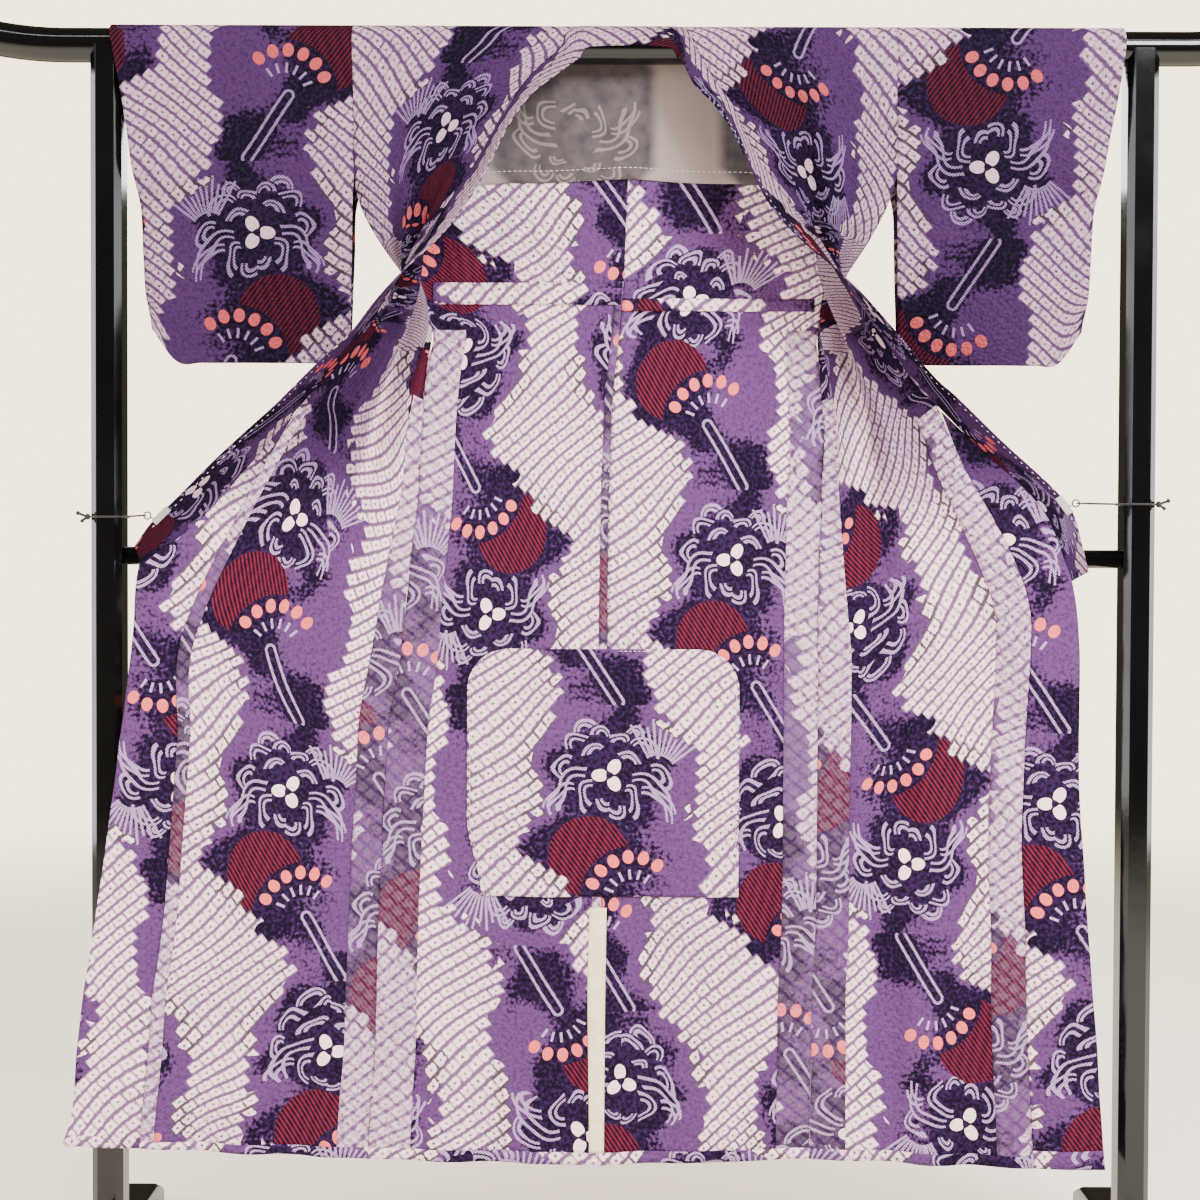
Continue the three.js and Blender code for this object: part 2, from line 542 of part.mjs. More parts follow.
function clipFrame(hold) {
  const from = V(...hold.from);
  const to = V(...hold.to);
  const place = along(from, to, hold.at);
  const edge = to.clone().sub(from).normalize();
  const inward = V(...hold.seam).sub(place);
  inward.addScaledVector(edge, -inward.dot(edge)).normalize();
  const face = V(0, 0, 0).crossVectors(edge, inward).normalize();
  const ring = place.clone().addScaledVector(edge, hold.ringAlong).addScaledVector(inward, -hold.ringOut);
  return { place, edge, inward, face, ring };
}

function clipSolid(hold, { place, edge, inward, face, ring }) {
  const frame = new THREE.Matrix4().makeBasis(edge, inward, face).setPosition(place);
  const block = new THREE.BoxGeometry(clip.length, clip.width, clip.thick).translate(0, clip.reach, 0);
  const slot = new THREE.BoxGeometry(clip.length + 2, clip.slotWidth, clip.slot);
  slot.translate(0, clip.reach + clip.slotIn, 0);
  const jaw = solidOf(block).subtract(solidOf(slot)).transform(frame.elements);
  const root = place.clone().addScaledVector(edge, hold.ringAlong * 0.8).addScaledVector(inward, -clip.root);
  const rim = ring.clone().add(root.clone().sub(ring).setY(0).normalize().multiplyScalar(clip.ringR));
  const wire = wireRing(ring, clip.ringR, clip.wire, V(0, 1, 0), 16);
  return Manifold.union([jaw, wire, rod(root, rim, clip.stem, 10)]);
}

function tieSolid({ side, cordZ }, { ring }) {
  const hook = ring.clone().add(V(side * clip.ringR, 0, 0));
  const start = hook.clone().add(V(side * tie.hookR, 0, 0));
  const loop = octagon(side * size.postX, tie.radius + 0.3).map(([x, y]) => V(x, y, cordZ));
  const near = [...loop].sort((p, q) => p.distanceTo(start) - q.distanceTo(start))[0];
  const bits = [wireRing(hook, tie.hookR, tie.hookWire, V(0, 0, 1), 14), rod(start, near, tie.radius, 8)];
  loop.forEach((corner, i) => {
    bits.push(ball(corner, tie.radius), rod(corner, loop[(i + 1) % loop.length], tie.radius, 8));
  });
  const knot = V(side * (size.postX + size.postHalfX + tie.knotOut), tie.knotY, cordZ);
  bits.push(ball(knot, tie.knotR));
  for (const { out, forward, up, end } of lobes) {
    const tip = knot.clone().add(V(side * out, forward, up));
    bits.push(rod(knot, tip, tie.lobeR, 8), ball(tip, end));
  }
  return Manifold.union(bits);
}

for (const hold of holds) {
  const frame = clipFrame(hold);
  addSolid(clipSolid(hold, frame), `clip_${hold.word}`, steel);
  addSolid(tieSolid(hold, frame), `tie_${hold.word}`, blackCord);
}

export default group;
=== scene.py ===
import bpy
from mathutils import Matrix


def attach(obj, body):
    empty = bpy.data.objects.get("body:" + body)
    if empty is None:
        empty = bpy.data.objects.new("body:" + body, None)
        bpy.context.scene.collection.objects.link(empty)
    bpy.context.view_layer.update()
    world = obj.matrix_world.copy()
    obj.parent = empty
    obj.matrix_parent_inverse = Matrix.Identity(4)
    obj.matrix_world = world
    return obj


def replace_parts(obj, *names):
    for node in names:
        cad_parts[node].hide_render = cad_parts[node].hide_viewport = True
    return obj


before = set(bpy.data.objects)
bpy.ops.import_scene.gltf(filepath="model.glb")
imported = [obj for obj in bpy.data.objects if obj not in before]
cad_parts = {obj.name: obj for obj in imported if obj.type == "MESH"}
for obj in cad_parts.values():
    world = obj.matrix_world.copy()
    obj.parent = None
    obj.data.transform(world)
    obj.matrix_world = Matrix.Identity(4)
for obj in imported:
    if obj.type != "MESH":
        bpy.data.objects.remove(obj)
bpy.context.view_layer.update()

import math
from types import SimpleNamespace

import bmesh
import bpy
import numpy as np
from mathutils import Matrix, Vector

mm = 0.001
cloth = {"shell": 0.9, "rowSteps": 9, "columnSteps": 5, "runWidth": 330, "runLength": 372}
bar = {"z": 1730, "half": 953, "rise": 24, "straight": 790, "radius": 24, "clothRadius": 28.2}
post = {"x": 732.4, "halfX": 22, "railZ": 1006, "railRadius": 13, "railGap": 0.3}


def lerp(a, b, t):
    return a + (b - a) * t


def smooth(a, b, x):
    t = np.clip((x - a) / (b - a), 0, 1)
    return t * t * (3 - 2 * t)


def byZ(rows, z, column):
    table = np.array(rows, float)[::-1]
    return np.interp(z, table[:, 0], table[:, column])


# camera: a 58.8 mm lens 2.8 m away, a little above the middle, tipped down and rolled slightly
camera = {"target": (-32.2, 0, 945.1), "distance": 2800, "pitch": 1.298, "roll": 0.213, "lens": 58.8}


def placeCamera():
    pitch, roll = math.radians(camera["pitch"]), math.radians(camera["roll"])
    forward = Vector((0, math.cos(pitch), -math.sin(pitch)))
    up, right = Vector((0, math.sin(pitch), math.cos(pitch))), Vector((1, 0, 0))
    x = right * math.cos(roll) + up * math.sin(roll)
    y = up * math.cos(roll) - right * math.sin(roll)
    data = bpy.data.cameras.new("camera")
    data.lens, data.sensor_width = camera["lens"], 36
    obj = bpy.data.objects.new("camera", data)
    obj.matrix_world = Matrix((x, y, -forward)).transposed().to_4x4()
    obj.matrix_world.translation = (Vector(camera["target"]) - forward * camera["distance"]) * mm
    bpy.context.collection.objects.link(obj)
    bpy.context.scene.camera = obj


placeCamera()


# shader maths: a Value wraps a socket, and Python operators on it add Math nodes
def mathNode(operation, reflected=False):
    def act(self, other=0.0):
        a, b = (other, self) if reflected else (self, other)
        return self.shader.math(operation, a, b)
    return act


class Value:
    __add__, __radd__ = mathNode("ADD"), mathNode("ADD", reflected=True)
    __sub__, __rsub__ = mathNode("SUBTRACT"), mathNode("SUBTRACT", reflected=True)
    __mul__, __rmul__ = mathNode("MULTIPLY"), mathNode("MULTIPLY", reflected=True)
    __truediv__ = mathNode("DIVIDE")
    __lt__, __gt__ = mathNode("LESS_THAN"), mathNode("GREATER_THAN")
    over, under = mathNode("MAXIMUM"), mathNode("MINIMUM")
    floor = mathNode("FLOOR")
    size = mathNode("ABSOLUTE")
    root = mathNode("SQRT")
    sine = mathNode("SINE")

    def __init__(self, shader, socket):
        self.shader = shader
        self.socket = socket

    def __neg__(self):
        return self * -1

    def ramp(self, a, b, eased=True):  # 0 at a, 1 at b
        settings = {"interpolation_type": "SMOOTHSTEP" if eased else "LINEAR"}
        sockets = {"Value": self, "From Min": a, "From Max": b}
        if a > b:
            sockets = {"Value": self, "From Min": b, "From Max": a, "To Min": 1.0, "To Max": 0.0}
        return self.shader.value("ShaderNodeMapRange", settings, sockets, "Result")


class Shader:
    def __init__(self, name):
        self.material = bpy.data.materials.new(name)
        self.material.use_nodes = True
        self.tree = self.material.node_tree
        self.bsdf = self.tree.nodes["Principled BSDF"]

    def node(self, kind, settings=None, sockets=None):
        made = self.tree.nodes.new(kind)
        for key, setting in (settings or {}).items():
            setattr(made, key, setting)
        for key, given in (sockets or {}).items():
            self.put(made.inputs[key], given)
        return made

    def put(self, socket, given):
        if isinstance(given, Value):
            given = given.socket
        if isinstance(given, bpy.types.NodeSocket):
            self.tree.links.new(given, socket)
        else:
            socket.default_value = given

    def value(self, kind, settings, sockets, output=0):
        return Value(self, self.node(kind, settings, sockets).outputs[output])

    def math(self, operation, a, b=0.0):
        return self.value("ShaderNodeMath", {"operation": operation}, {0: a, 1: b})

    def noise(self, vector, scale, detail=2.0):
        settings = {"noise_dimensions": "3D" if detail > 1.5 else "2D"}
        sockets = {"Vector": vector, "Scale": scale, "Detail": detail}
        return self.value("ShaderNodeTexNoise", settings, sockets, "Fac")

    def chance(self, number):
        return self.value("ShaderNodeTexWhiteNoise", {"noise_dimensions": "1D"}, {"W": number}, "Value")

    def blend(self, mask, a, b, kind="MIX"):  # colour a where mask is 0, b where it is 1
        made = self.node("ShaderNodeMix", {"data_type": "RGBA", "blend_type": kind})
        for i, given in ((0, mask), (6, a), (7, b)):
            self.put(made.inputs[i], given)
        return made.outputs[2]

    def bump(self, strength, distance, height):
        sockets = {"Strength": strength, "Distance": distance, "Height": height}
        return self.node("ShaderNodeBump", {}, sockets).outputs[0]

    def clothUv(self):
        return self.node("ShaderNodeUVMap", {"uv_map": "cloth"}).outputs[0]

    def place(self):
        return self.node("ShaderNodeTexCoord").outputs["Object"]

    def parts(self, vector):
        split = self.node("ShaderNodeSeparateXYZ", {}, {0: vector})
        return [Value(self, output) for output in split.outputs]

    def finish(self, **sockets):
        for name, given in sockets.items():
            self.put(self.bsdf.inputs[name.replace("_", " ")], given)
        return self.material


# the film look's mixing of the channels, before and after its curve, and the light on the cloth
film = {
    "before": ((0.8425, 0.0784, 0.0792), (0.0423, 0.8785, 0.0792), (0.0424, 0.0784, 0.8791)),
    "after": ((1.1969, -0.0980, -0.0990), (-0.0529, 1.1519, -0.0990), (-0.0530, -0.0980, 1.1511)),
    "curve": (15.5, -40.14, 31.96, -6.868, 0.4298, 0.1191, -0.00232), "stops": 16.5, "lowest": -12.474,
    "onCloth": 2.55,
}


def light(r, g, b):  # the light that the film look shows as this screen colour
    t = np.linspace(0, 1, 400)
    shown = np.linalg.inv(film["after"]) @ (np.array([r, g, b]) / 255)
    stops = np.interp(shown, np.polyval(film["curve"], t), t) * film["stops"] + film["lowest"]
    return np.maximum(np.linalg.inv(film["before"]) @ 2.0 ** stops, 0.0)


def tint(r, g, b):  # a surface colour, from how it looks on the screen in this light
    return tuple(np.minimum(light(r, g, b) / film["onCloth"], 0.93)) + (1.0,)


# the tie-dye: one run of flower, half-moon, dots and stem, repeated down and across the cloth, in metres
dye = {
    # the white field: its slope in degrees, a cell's sides, and how far each row is moved along
    "slope": 40, "cellLong": 0.0195, "cellWide": 0.0170, "stagger": 0.37, "bow": 0.03,
    # one run, and the purple band in it
    "width": cloth["runWidth"] * mm, "length": cloth["runLength"] * mm, "drift": 0.085, "top": -0.10,
    "bandLean": 0.004, "bandNarrow": 0.056, "bandWide": 0.062,
    # x and drop of the middle, and the radius
    "moon": (-0.010, 0.116, 0.058), "bite": (0.052, 0.176, 0.079),
    # what lies round the bite: how many to a turn, which of them show, a dot's half sides, the comb's reach
    "dotTurns": 17, "dotSlots": (-8.5, -2.5), "dotReach": 0.060, "dots": (0.0098, 0.0080),
    "comb": (0.028, 0.042),
    "stem": ((0.040, 0.180), (0.098, 0.268)), "stemHalf": 0.0068,
    "fan": (0.068, -0.002), "fanReach": (0.026, 0.080), "rays": 44, "raySlots": (-15.5, -4.5),
    "heartReach": 0.0150, "heartDots": (0.0102, 0.0094),
    # small dashes in each line and on the moon
    "ring": 0.0044, "stripe": 0.0056,
    # how far the dark ground reaches past the flower's heart, the moon and the stem
    "darkReach": (0.086, 0.020, 0.026),
    # scale and detail of the noises
    "noises": {
        "broad": (12.0, 1.0), "fuzz": (170.0, 1.0), "grain": (420.0, 0.0), "warp": (20.0, 0.0),
        "bow": (6.0, 0.0),
    },
    "pucker": 210.0,
    "cell": tint(228, 219, 222), "gap": tint(146, 106, 162), "line": tint(208, 195, 216),
    "deep": tint(28, 15, 46), "dark": tint(50, 30, 78), "mid": tint(94, 58, 124),
    "light": tint(142, 104, 160),
    "moonRed": tint(160, 62, 94), "moonDark": tint(58, 20, 52), "peach": tint(228, 158, 158),
    # the multiplier for painted shade: on the fronts drawn forward, and on sleeves and collar together with
    # their stronger dye
    "sheer": tint(206, 193, 210), "outer": (0.40, 0.37, 0.45, 1),
}
# curled petals as parts of circles, drawn double, the same on both sides of the heart, mm and degrees
#  x and drop of the middle, radius, half the way between the two lines, where it faces, how far round
petals = [
    (40, 46, 45, 5.5, -38, 62), (26, 40, 21, 4.2, -12, 84), (8, 47, 13, 3.6, 80, 74),
    (12, -52, 12, 3.4, -95, 88), (50, -34, 19, 4.4, -60, 78), (70, 4, 17, 4.0, -30, 82),
    (28, -20, 12, 3.2, -70, 70), (34, -64, 12, 3.2, -72, 84), (64, 60, 30, 4.8, -52, 46),
]
petalWarp = (0.034, 0.024)


def waves(value, length):
    return (value * (2 * math.pi / length)).sine()


def runPlace(u, v):  # where a point lies in its run: x across, w down from the flower's heart
    down = (-v - dye["top"]) / dye["length"]
    turn = down.floor()
    w = (down - turn) * dye["length"] + dye["top"]
    across = (u - turn * dye["drift"]) / dye["width"] + 0.5
    column = across.floor()
    return (across - column - 0.5) * dye["width"], w, turn * 7.0 + column * 3.0


def clothPlace(s):  # a point's place on the cloth and in its run, and the noises that make edges uneven
    uv = s.clothUv()
    u, v, _ = s.parts(uv)
    x, w, seed = runPlace(u, v)
    noises = {word: s.noise(uv, scale, detail) - 0.5 for word, (scale, detail) in dye["noises"].items()}
    return SimpleNamespace(uv=uv, u=u, v=v, x=x, w=w, seed=seed, fromHeart=(x * x + w * w).root(), **noises)


def bandEdge(x, w):  # how far outside the purple band a point is
    middle = w.ramp(0.10, 0.27, eased=False) * dye["drift"] + dye["bandLean"]
    wide = w.ramp(-0.10, -0.035, eased=False) * w.ramp(0.215, 0.125, eased=False)
    return (x - middle).size() - (wide * dye["bandWide"] + dye["bandNarrow"])


def petalLines(s, x, w, seed, warp):
    scale = s.chance(seed + 0.5) * 0.14 + 0.95
    px = x.size() * scale + warp * petalWarp[0]
    pw = (w + (x < 0.0) * 0.008) * scale + warp * petalWarp[1]
    drawn = None
    for cx, cw, radius, gap, faces, around in petals:
        dx, dw = px - cx * mm, pw - cw * mm
        d = (dx * dx + dw * dw).root()
        line = ((d - radius * mm).size() - gap * mm).size().ramp(0.0026, 0.0014)
        f = math.radians(faces)
        line = line * (dx * math.cos(f) + dw * math.sin(f) > d * math.cos(math.radians(around)))
        drawn = line if drawn is None else drawn.over(line)
    return drawn


def fanLines(s, x, w, seed):  # straight rays beside every other flower
    dx, dw = x - dye["fan"][0], w - dye["fan"][1]
    r = (dx * dx + dw * dw).root()
    turn = s.math("ARCTAN2", dw, dx) * (dye["rays"] / (2 * math.pi))
    ray = turn.floor()
    aside = (turn - ray - 0.5).size() * r * (2 * math.pi / dye["rays"])
    near, far = dye["fanReach"]
    first, last = dye["raySlots"]
    inside = (r > near) * (s.chance(ray) * -0.014 + far > r) * (ray > first) * (ray < last)
    return aside.ramp(0.0022, 0.0012) * inside * (s.chance(seed + 9.5) > 0.45)


def stemPlace(x, w):  # how far beside the stem a point is, and how far past its ends
    (ax, aw), (bx, bw) = dye["stem"]
    length = math.hypot(bx - ax, bw - aw)
    cx, cw = (bx - ax) / length, (bw - aw) / length
    along = (x - ax) * cx + (w - aw) * cw
    return (x - ax) * cw - (w - aw) * cx, (along * -1.0).over(along - length).over(0.0)


def fieldCells(u, v):  # place within a cell of the white field, and the middle of that cell
    c, k = math.cos(math.radians(dye["slope"])), math.sin(math.radians(dye["slope"]))
    across = (v * c - u * k) / dye["cellWide"]
    row = across.floor()
    along = (u * c + v * k) / dye["cellLong"] + row * dye["stagger"]
    cell = along.floor()
    a = (cell + 0.5 - row * dye["stagger"]) * dye["cellLong"]
    b = (row + 0.5) * dye["cellWide"]
    return (along - cell - 0.5) * 2.0, (across - row - 0.5) * 2.0, a * c - b * k, a * k + b * c


def whiteField(s, at):  # small undyed squares, with thin dyed lines between them, darker near the band
    bow = at.bow * dye["bow"]
    fa, fb, cu, cv = fieldCells(at.u + bow, at.v - bow)
    cx, cw, _ = runPlace(cu, cv)
    edge = bandEdge(cx, cw) + at.broad * 0.06
    nearBand = edge.ramp(0.034, 0.010) * at.broad.ramp(-0.05, 0.06)
    a2, b2 = fa * fa, fb * fb
    rowGap = (fb.size() + at.fuzz * 0.34).ramp(0.60, 0.80)
    endGap = (fa.size() + at.fuzz * 0.40).ramp(0.72, 0.94) * (nearBand * 0.6 + 0.62 - at.warp)
    corner = (a2 * b2 + at.fuzz * 0.2).ramp(0.18, 0.42)
    gaps = rowGap.over(endGap).over(corner).under(1.0)
    pin = (a2 + b2).ramp(0.10, 0.012) * 0.7
    shade = (at.bow * 0.9 + at.fuzz * 1.6 + at.grain * 1.5 + 0.20).over(0.0)
    white = s.blend((pin + shade * 0.5).under(1.0), dye["cell"], dye["gap"])
    colour = s.blend(gaps * 0.93, white, s.blend(nearBand, dye["gap"], dye["deep"]))
    return SimpleNamespace(colour=colour, shows=edge > 0.0, gaps=gaps, shade=shade, fromPin=a2 + b2)


def dyedGround(s, at, fromMoon, fromStem):  # dark round the drawing, plain lavender away from it
    heartReach, moonReach, stemReach = dye["darkReach"]
    fromDrawing = (at.fromHeart - heartReach).under(fromMoon - dye["moon"][2] - moonReach)
    fromDrawing = fromDrawing.under(fromStem - stemReach)
    pale = (fromDrawing + at.fuzz * 0.040 + at.broad * 0.11).ramp(-0.006, 0.012)
    mottled = s.blend((at.fuzz * 3.4 + 0.42 + at.broad).over(0.0).under(1.0), dye["deep"], dye["mid"])
    lavender = s.blend((at.fuzz * 1.4 + 0.86).under(1.0), dye["mid"], dye["light"])
    return s.blend(pale, s.blend(0.35, mottled, dye["dark"]), lavender)


def moonPlace(s, at):  # how far a point is from the half-moon's middle, and its place from the bite's
    mx, mw, _ = dye["moon"]
    bx, bw, _ = dye["bite"]
    shift = s.chance(at.seed + 3.5) * 0.030 - 0.022
    moonX, moonW = at.x - shift - mx, at.w - mw
    fromMoon = (moonX * moonX + moonW * moonW).root() + at.fuzz * 0.006
    return fromMoon, at.x - shift - bx, at.w - bw


def moonAndDots(s, at, colour, rings, fromMoon, biteX, biteW):
    fromBite = (biteX * biteX + biteW * biteW).root()
    moon = (fromMoon < dye["moon"][2]) * (fromBite > dye["bite"][2] - 0.004)
    stripes = waves(at.x * 0.80 + at.w * -0.60, dye["stripe"])
    red = s.blend((stripes + rings * 0.8).ramp(-0.35, 0.55), dye["moonDark"], dye["moonRed"])
    colour = s.blend(moon, colour, red)

    spread = 2 * math.pi / dye["dotTurns"]
    turn = s.math("ARCTAN2", biteW, biteX) / spread
    slot = turn.floor()
    aside = (turn - slot - 0.5) * fromBite * spread
    first, last = dye["dotSlots"]
    shows = (slot > first) * (slot < last)
    dotLong, dotWide = dye["dots"]
    along, across = (fromBite - dye["dotReach"]) / dotLong, aside / dotWide
    dots = (along * along + across * across).ramp(1.08, 0.88) * shows
    near, far = dye["comb"]
    comb = (aside * 2.0).size().ramp(0.0046, 0.0026) * (fromBite < far) * (fromBite > near) * shows
    colour = s.blend(dots, colour, dye["peach"])
    return s.blend(comb * (rings * 0.4 + 0.8), colour, dye["line"])


def heartDots(s, at):  # three undyed dots round the flower's heart
    third = s.math("ARCTAN2", at.w, at.x) * (3 / (2 * math.pi)) + at.seed * 0.21
    aside = (third - third.floor() - 0.5) * at.fromHeart * (2 * math.pi / 3)
    dotLong, dotWide = dye["heartDots"]
    along, across = (at.fromHeart - dye["heartReach"]) / dotLong, aside / dotWide
    return (along * along + across * across).ramp(1.08, 0.90)


def shadeWhereDrawnForward(s):  # 1 where a front is pulled out before the back, above the clips, for painted shade on the bunched crossing
    _, y, z = s.parts(s.place())
    return (z * 0.0675 - 0.087 - y).ramp(0.010, 0.026) * z.ramp(1.02, 1.18)


# sheer: a turned-in layer, whose back shows a second field through it; outer: partly stronger dye, partly
# painted shade
def dyedCloth(name, sheer=False, outer=False):
    s = Shader(name)
    at = clothPlace(s)
    field = whiteField(s, at)
    fromMoon, biteX, biteW = moonPlace(s, at)
    aside, past = stemPlace(at.x, at.w)
    fromStem = (aside * aside + past * past).root()

    rings = waves(at.x, dye["ring"]) * waves(at.w, dye["ring"])
    stem = (fromStem - dye["stemHalf"]).size().ramp(0.0024, 0.0013)
    drawn = petalLines(s, at.x, at.w, at.seed, at.warp).over(fanLines(s, at.x, at.w, at.seed)).over(stem)
    drawn = (drawn * (rings * 1.5 + 0.62)).over(drawn * 0.30).under(1.0)
    colour = s.blend(drawn, dyedGround(s, at, fromMoon, fromStem), dye["line"])
    colour = moonAndDots(s, at, colour, rings, fromMoon, biteX, biteW)
    colour = s.blend(heartDots(s, at), colour, dye["cell"])
    colour = s.blend(field.shows, colour, field.colour)
    if sheer:
        backA, backB, _, _ = fieldCells(at.u * -1.0, at.v)
        through = (backB.size() + at.fuzz * 0.3).ramp(0.56, 0.84).over(backA.size().ramp(0.70, 0.96) * 0.6)
        dyed = (through * 0.7 + field.gaps * 0.35 + field.shade * 0.5).under(1.0)
        colour = s.blend(field.shows * 0.45 + 0.16, colour, s.blend(dyed, dye["sheer"], dye["gap"]))
    else:
        # painted shade: the colour multiplied darker, all over for sleeves and collar, where drawn forward
        # for the fronts
        deepDyeAndShade = 1.0 if outer else shadeWhereDrawnForward(s)
        colour = s.blend(deepDyeAndShade, colour, dye["outer"], "MULTIPLY")

    puckers = field.fromPin * -0.30 + s.noise(at.uv, dye["pucker"], 1.0) * 1.5
    normal = s.bump(0.9, 0.0022, puckers)
    return s.finish(Base_Color=colour, Roughness=0.8, Specular_IOR_Level=0.06, Normal=normal)


# thin plain cotton, with the dyed back showing faintly through it
liningLook = {"weave": 0.0011, "ghostAt": -0.07, "plain": tint(184, 175, 176), "ghost": tint(62, 50, 72)}


def liningCloth():
    s = Shader("lining_cotton")
    uv = s.clothUv()
    u, v, _ = s.parts(uv)
    weave = waves(u, liningLook["weave"]) * 0.5 + waves(v, liningLook["weave"]) * 0.5
    x, w, seed = runPlace(-u + liningLook["ghostAt"], -v)
    petal = petalLines(s, x, w, seed, s.noise(uv, 20.0, 0.0) - 0.5)
    ghost = bandEdge(x, w).ramp(0.012, -0.012) * (s.noise(uv, 40.0) * 0.5 + 0.58 - petal * 0.42)
    colour = s.blend(ghost, liningLook["plain"], liningLook["ghost"])
    return s.finish(Base_Color=colour, Roughness=0.85, Sheen_Weight=0.1, Normal=s.bump(0.25, 0.0003, weave))


def plainCloth():
    s = Shader("plain_cotton")
    place = s.place()
    colour = s.blend(s.noise(place, 90.0), tint(214, 206, 192), tint(232, 226, 214))
    return s.finish(Base_Color=colour, Roughness=0.86, Normal=s.bump(0.3, 0.0004, s.noise(place, 700.0)))


def lacquer():
    s = Shader("black_lacquer")
    place = s.place()
    cloudy = s.noise(place, 9.0, 3.0)
    colour = s.blend(cloudy, (0.0010, 0.0010, 0.0012, 1), (0.0024, 0.0024, 0.0028, 1))
    rough = cloudy.ramp(0.3, 0.8) * 0.07 + 0.09
    normal = s.bump(0.12, 0.0008, s.noise(place, 38.0))
    return s.finish(Base_Color=colour, Roughness=rough, Specular_IOR_Level=0.42, Normal=normal)


def steel():
    s = Shader("clip_steel")
    rough = s.noise(s.place(), 900.0) * 0.15 + 0.14
    return s.finish(Base_Color=tint(205, 205, 208), Metallic=1.0, Roughness=rough)


def braid():
    s = Shader("black_cord")
    u, v, _ = s.parts(s.clothUv())
    a, b = u * 2600.0, v * 2600.0
    twist = (a + b).sine().over((a - b).sine())
    colour = s.blend(twist.ramp(-0.6, 0.9), tint(8, 7, 10), tint(34, 31, 40))
    return s.finish(Base_Color=colour, Roughness=0.7, Sheen_Weight=0.2, Normal=s.bump(0.6, 0.0003, twist))


def thread():
    s = Shader("sewing_thread")
    colour = s.blend(s.noise(s.place(), 500.0), tint(196, 186, 200), tint(232, 226, 236))
    return s.finish(Base_Color=colour, Roughness=0.7)


look = {
    "dyed_cotton": dyedCloth("dyed_cotton"), "pale_cotton": dyedCloth("pale_cotton", sheer=True),
    # outer: the dyed cloth with painted shade multiplied over all of it, partly standing for its stronger dye
    "outer_shaded_cotton": dyedCloth("outer_shaded_cotton", outer=True),
    "lining_cotton": liningCloth(), "plain_cotton": plainCloth(), "black_lacquer": lacquer(),
    "clip_steel": steel(), "black_cord": braid(), "sewing_thread": thread(),
}
print("materials made")


# the garment's own shape, from the same rows as its pattern; mm, rows from the top down
#  z, y, centreX, foldDepth
backRun = [
    (1712, 28.0, 5, 0.0), (1640, 23.5, 5.5, 0.4), (1560, 17.5, 6, 0.8), (1480, 12, 3, 1.2),
    (1400, 6.5, 0, 1.5), (1329, 2.0, -6, 1.7), (1229, -4.5, -16, 1.8), (1087, -13.5, -20.5, 1.6),
    (1006, -18.5, -21.5, 1.4), (915, -20.5, -22, 1.8), (771, -22, -23, 2.6), (590, -22.5, -28, 3.4),
    (381, -23, -31, 4.2), (140, -23.5, -32, 5.0),
]


def centreX(z):
    return byZ(backRun, z, 2)


def backY(x, z):
    folds = 0.7 * np.sin(x / 31 + 0.5 + z / 900) + 0.45 * np.sin(x / 17.5 - z / 620)
    return byZ(backRun, z, 1) + byZ(backRun, z, 3) * folds


#  sideX, sideY, sideZ, innerX, innerY, innerZ, foldDepth
frontLeft = [
    (-384, -28, 1722, -91, -28, 1722, 0), (-382, -27.5, 1662, -129, -31, 1686, 3),
    (-381, -26.5, 1606, -158, -36, 1649, 5), (-381, -25.5, 1551, -183, -44, 1603, 7),
    (-373, -22, 1502, -210, -52, 1553, 10), (-348, -17, 1454, -243, -60, 1502, 13),
    (-318, -12, 1412, -277, -70, 1448, 16), (-287, -6, 1371, -308, -76, 1400, 18),
    (-273, 0, 1329, -331, -78, 1361, 18), (-279, 0, 1280, -355, -76, 1323, 16),
    (-284, 0, 1229, -395, -68, 1276, 14), (-288, 0, 1170, -435, -60, 1235, 12),
    (-291, 0, 1087, -453, -56, 1216, 10), (-300, 0, 1006, -507, -46, 1127, 8),
    (-310, 0, 915, -565, -38, 1021, 7), (-317, 0, 850, -603, -34, 944, 6), (-330, 0, 771, -629, -32, 863, 6),
    (-335, 0, 700, -629, -31, 754, 6), (-341, 0, 590, -640, -31, 605, 6), (-346, 0, 480, -650, -31, 482, 6),
    (-348, 0, 381, -665, -31, 381, 7), (-350, 0, 300, -671, -31, 300, 7), (-356, 0, 220, -680, -31, 215, 8),
    (-360, 0, 148, -684, -31, 164, 8),
]
frontRight = [
    (384, -28, 1722, 99, -28, 1722, 0), (383, -27.5, 1665, 127, -31, 1674, 3),
    (385, -26.5, 1606, 150, -36, 1642, 5), (384, -25.5, 1551, 168, -44, 1599, 7),
    (371, -21, 1502, 193, -52, 1554, 10), (346, -16, 1454, 222, -60, 1508, 13),
    (319, -11, 1412, 252, -70, 1461, 16), (293, -6, 1371, 287, -76, 1413, 18),
    (277, 0, 1329, 321, -78, 1366, 18), (279, 0, 1280, 352, -76, 1322, 16),
    (282, 0, 1229, 386, -68, 1276, 14), (286, 0, 1170, 415, -62, 1240, 12),
    (281, 0, 1087, 436, -59, 1221, 10), (279, 0, 1006, 479, -48, 1131, 8), (277, 0, 915, 537, -38, 1033, 7),
    (277, 0, 850, 572, -34, 948, 6), (277, 0, 771, 576, -32, 867, 6), (277, 0, 700, 571, -31, 775, 6),
    (277, 0, 590, 566, -31, 609, 6), (276, 0, 480, 572, -31, 482, 6), (271, 0, 381, 574, -31, 395, 7),
    (271, 0, 300, 577, -31, 304, 7), (270, 0, 220, 583, -31, 215, 8), (269, 0, 150, 587, -31, 140, 8),
]
closedFrom, kensaki, backHem, tipDrop = 8, 12, 140, 10
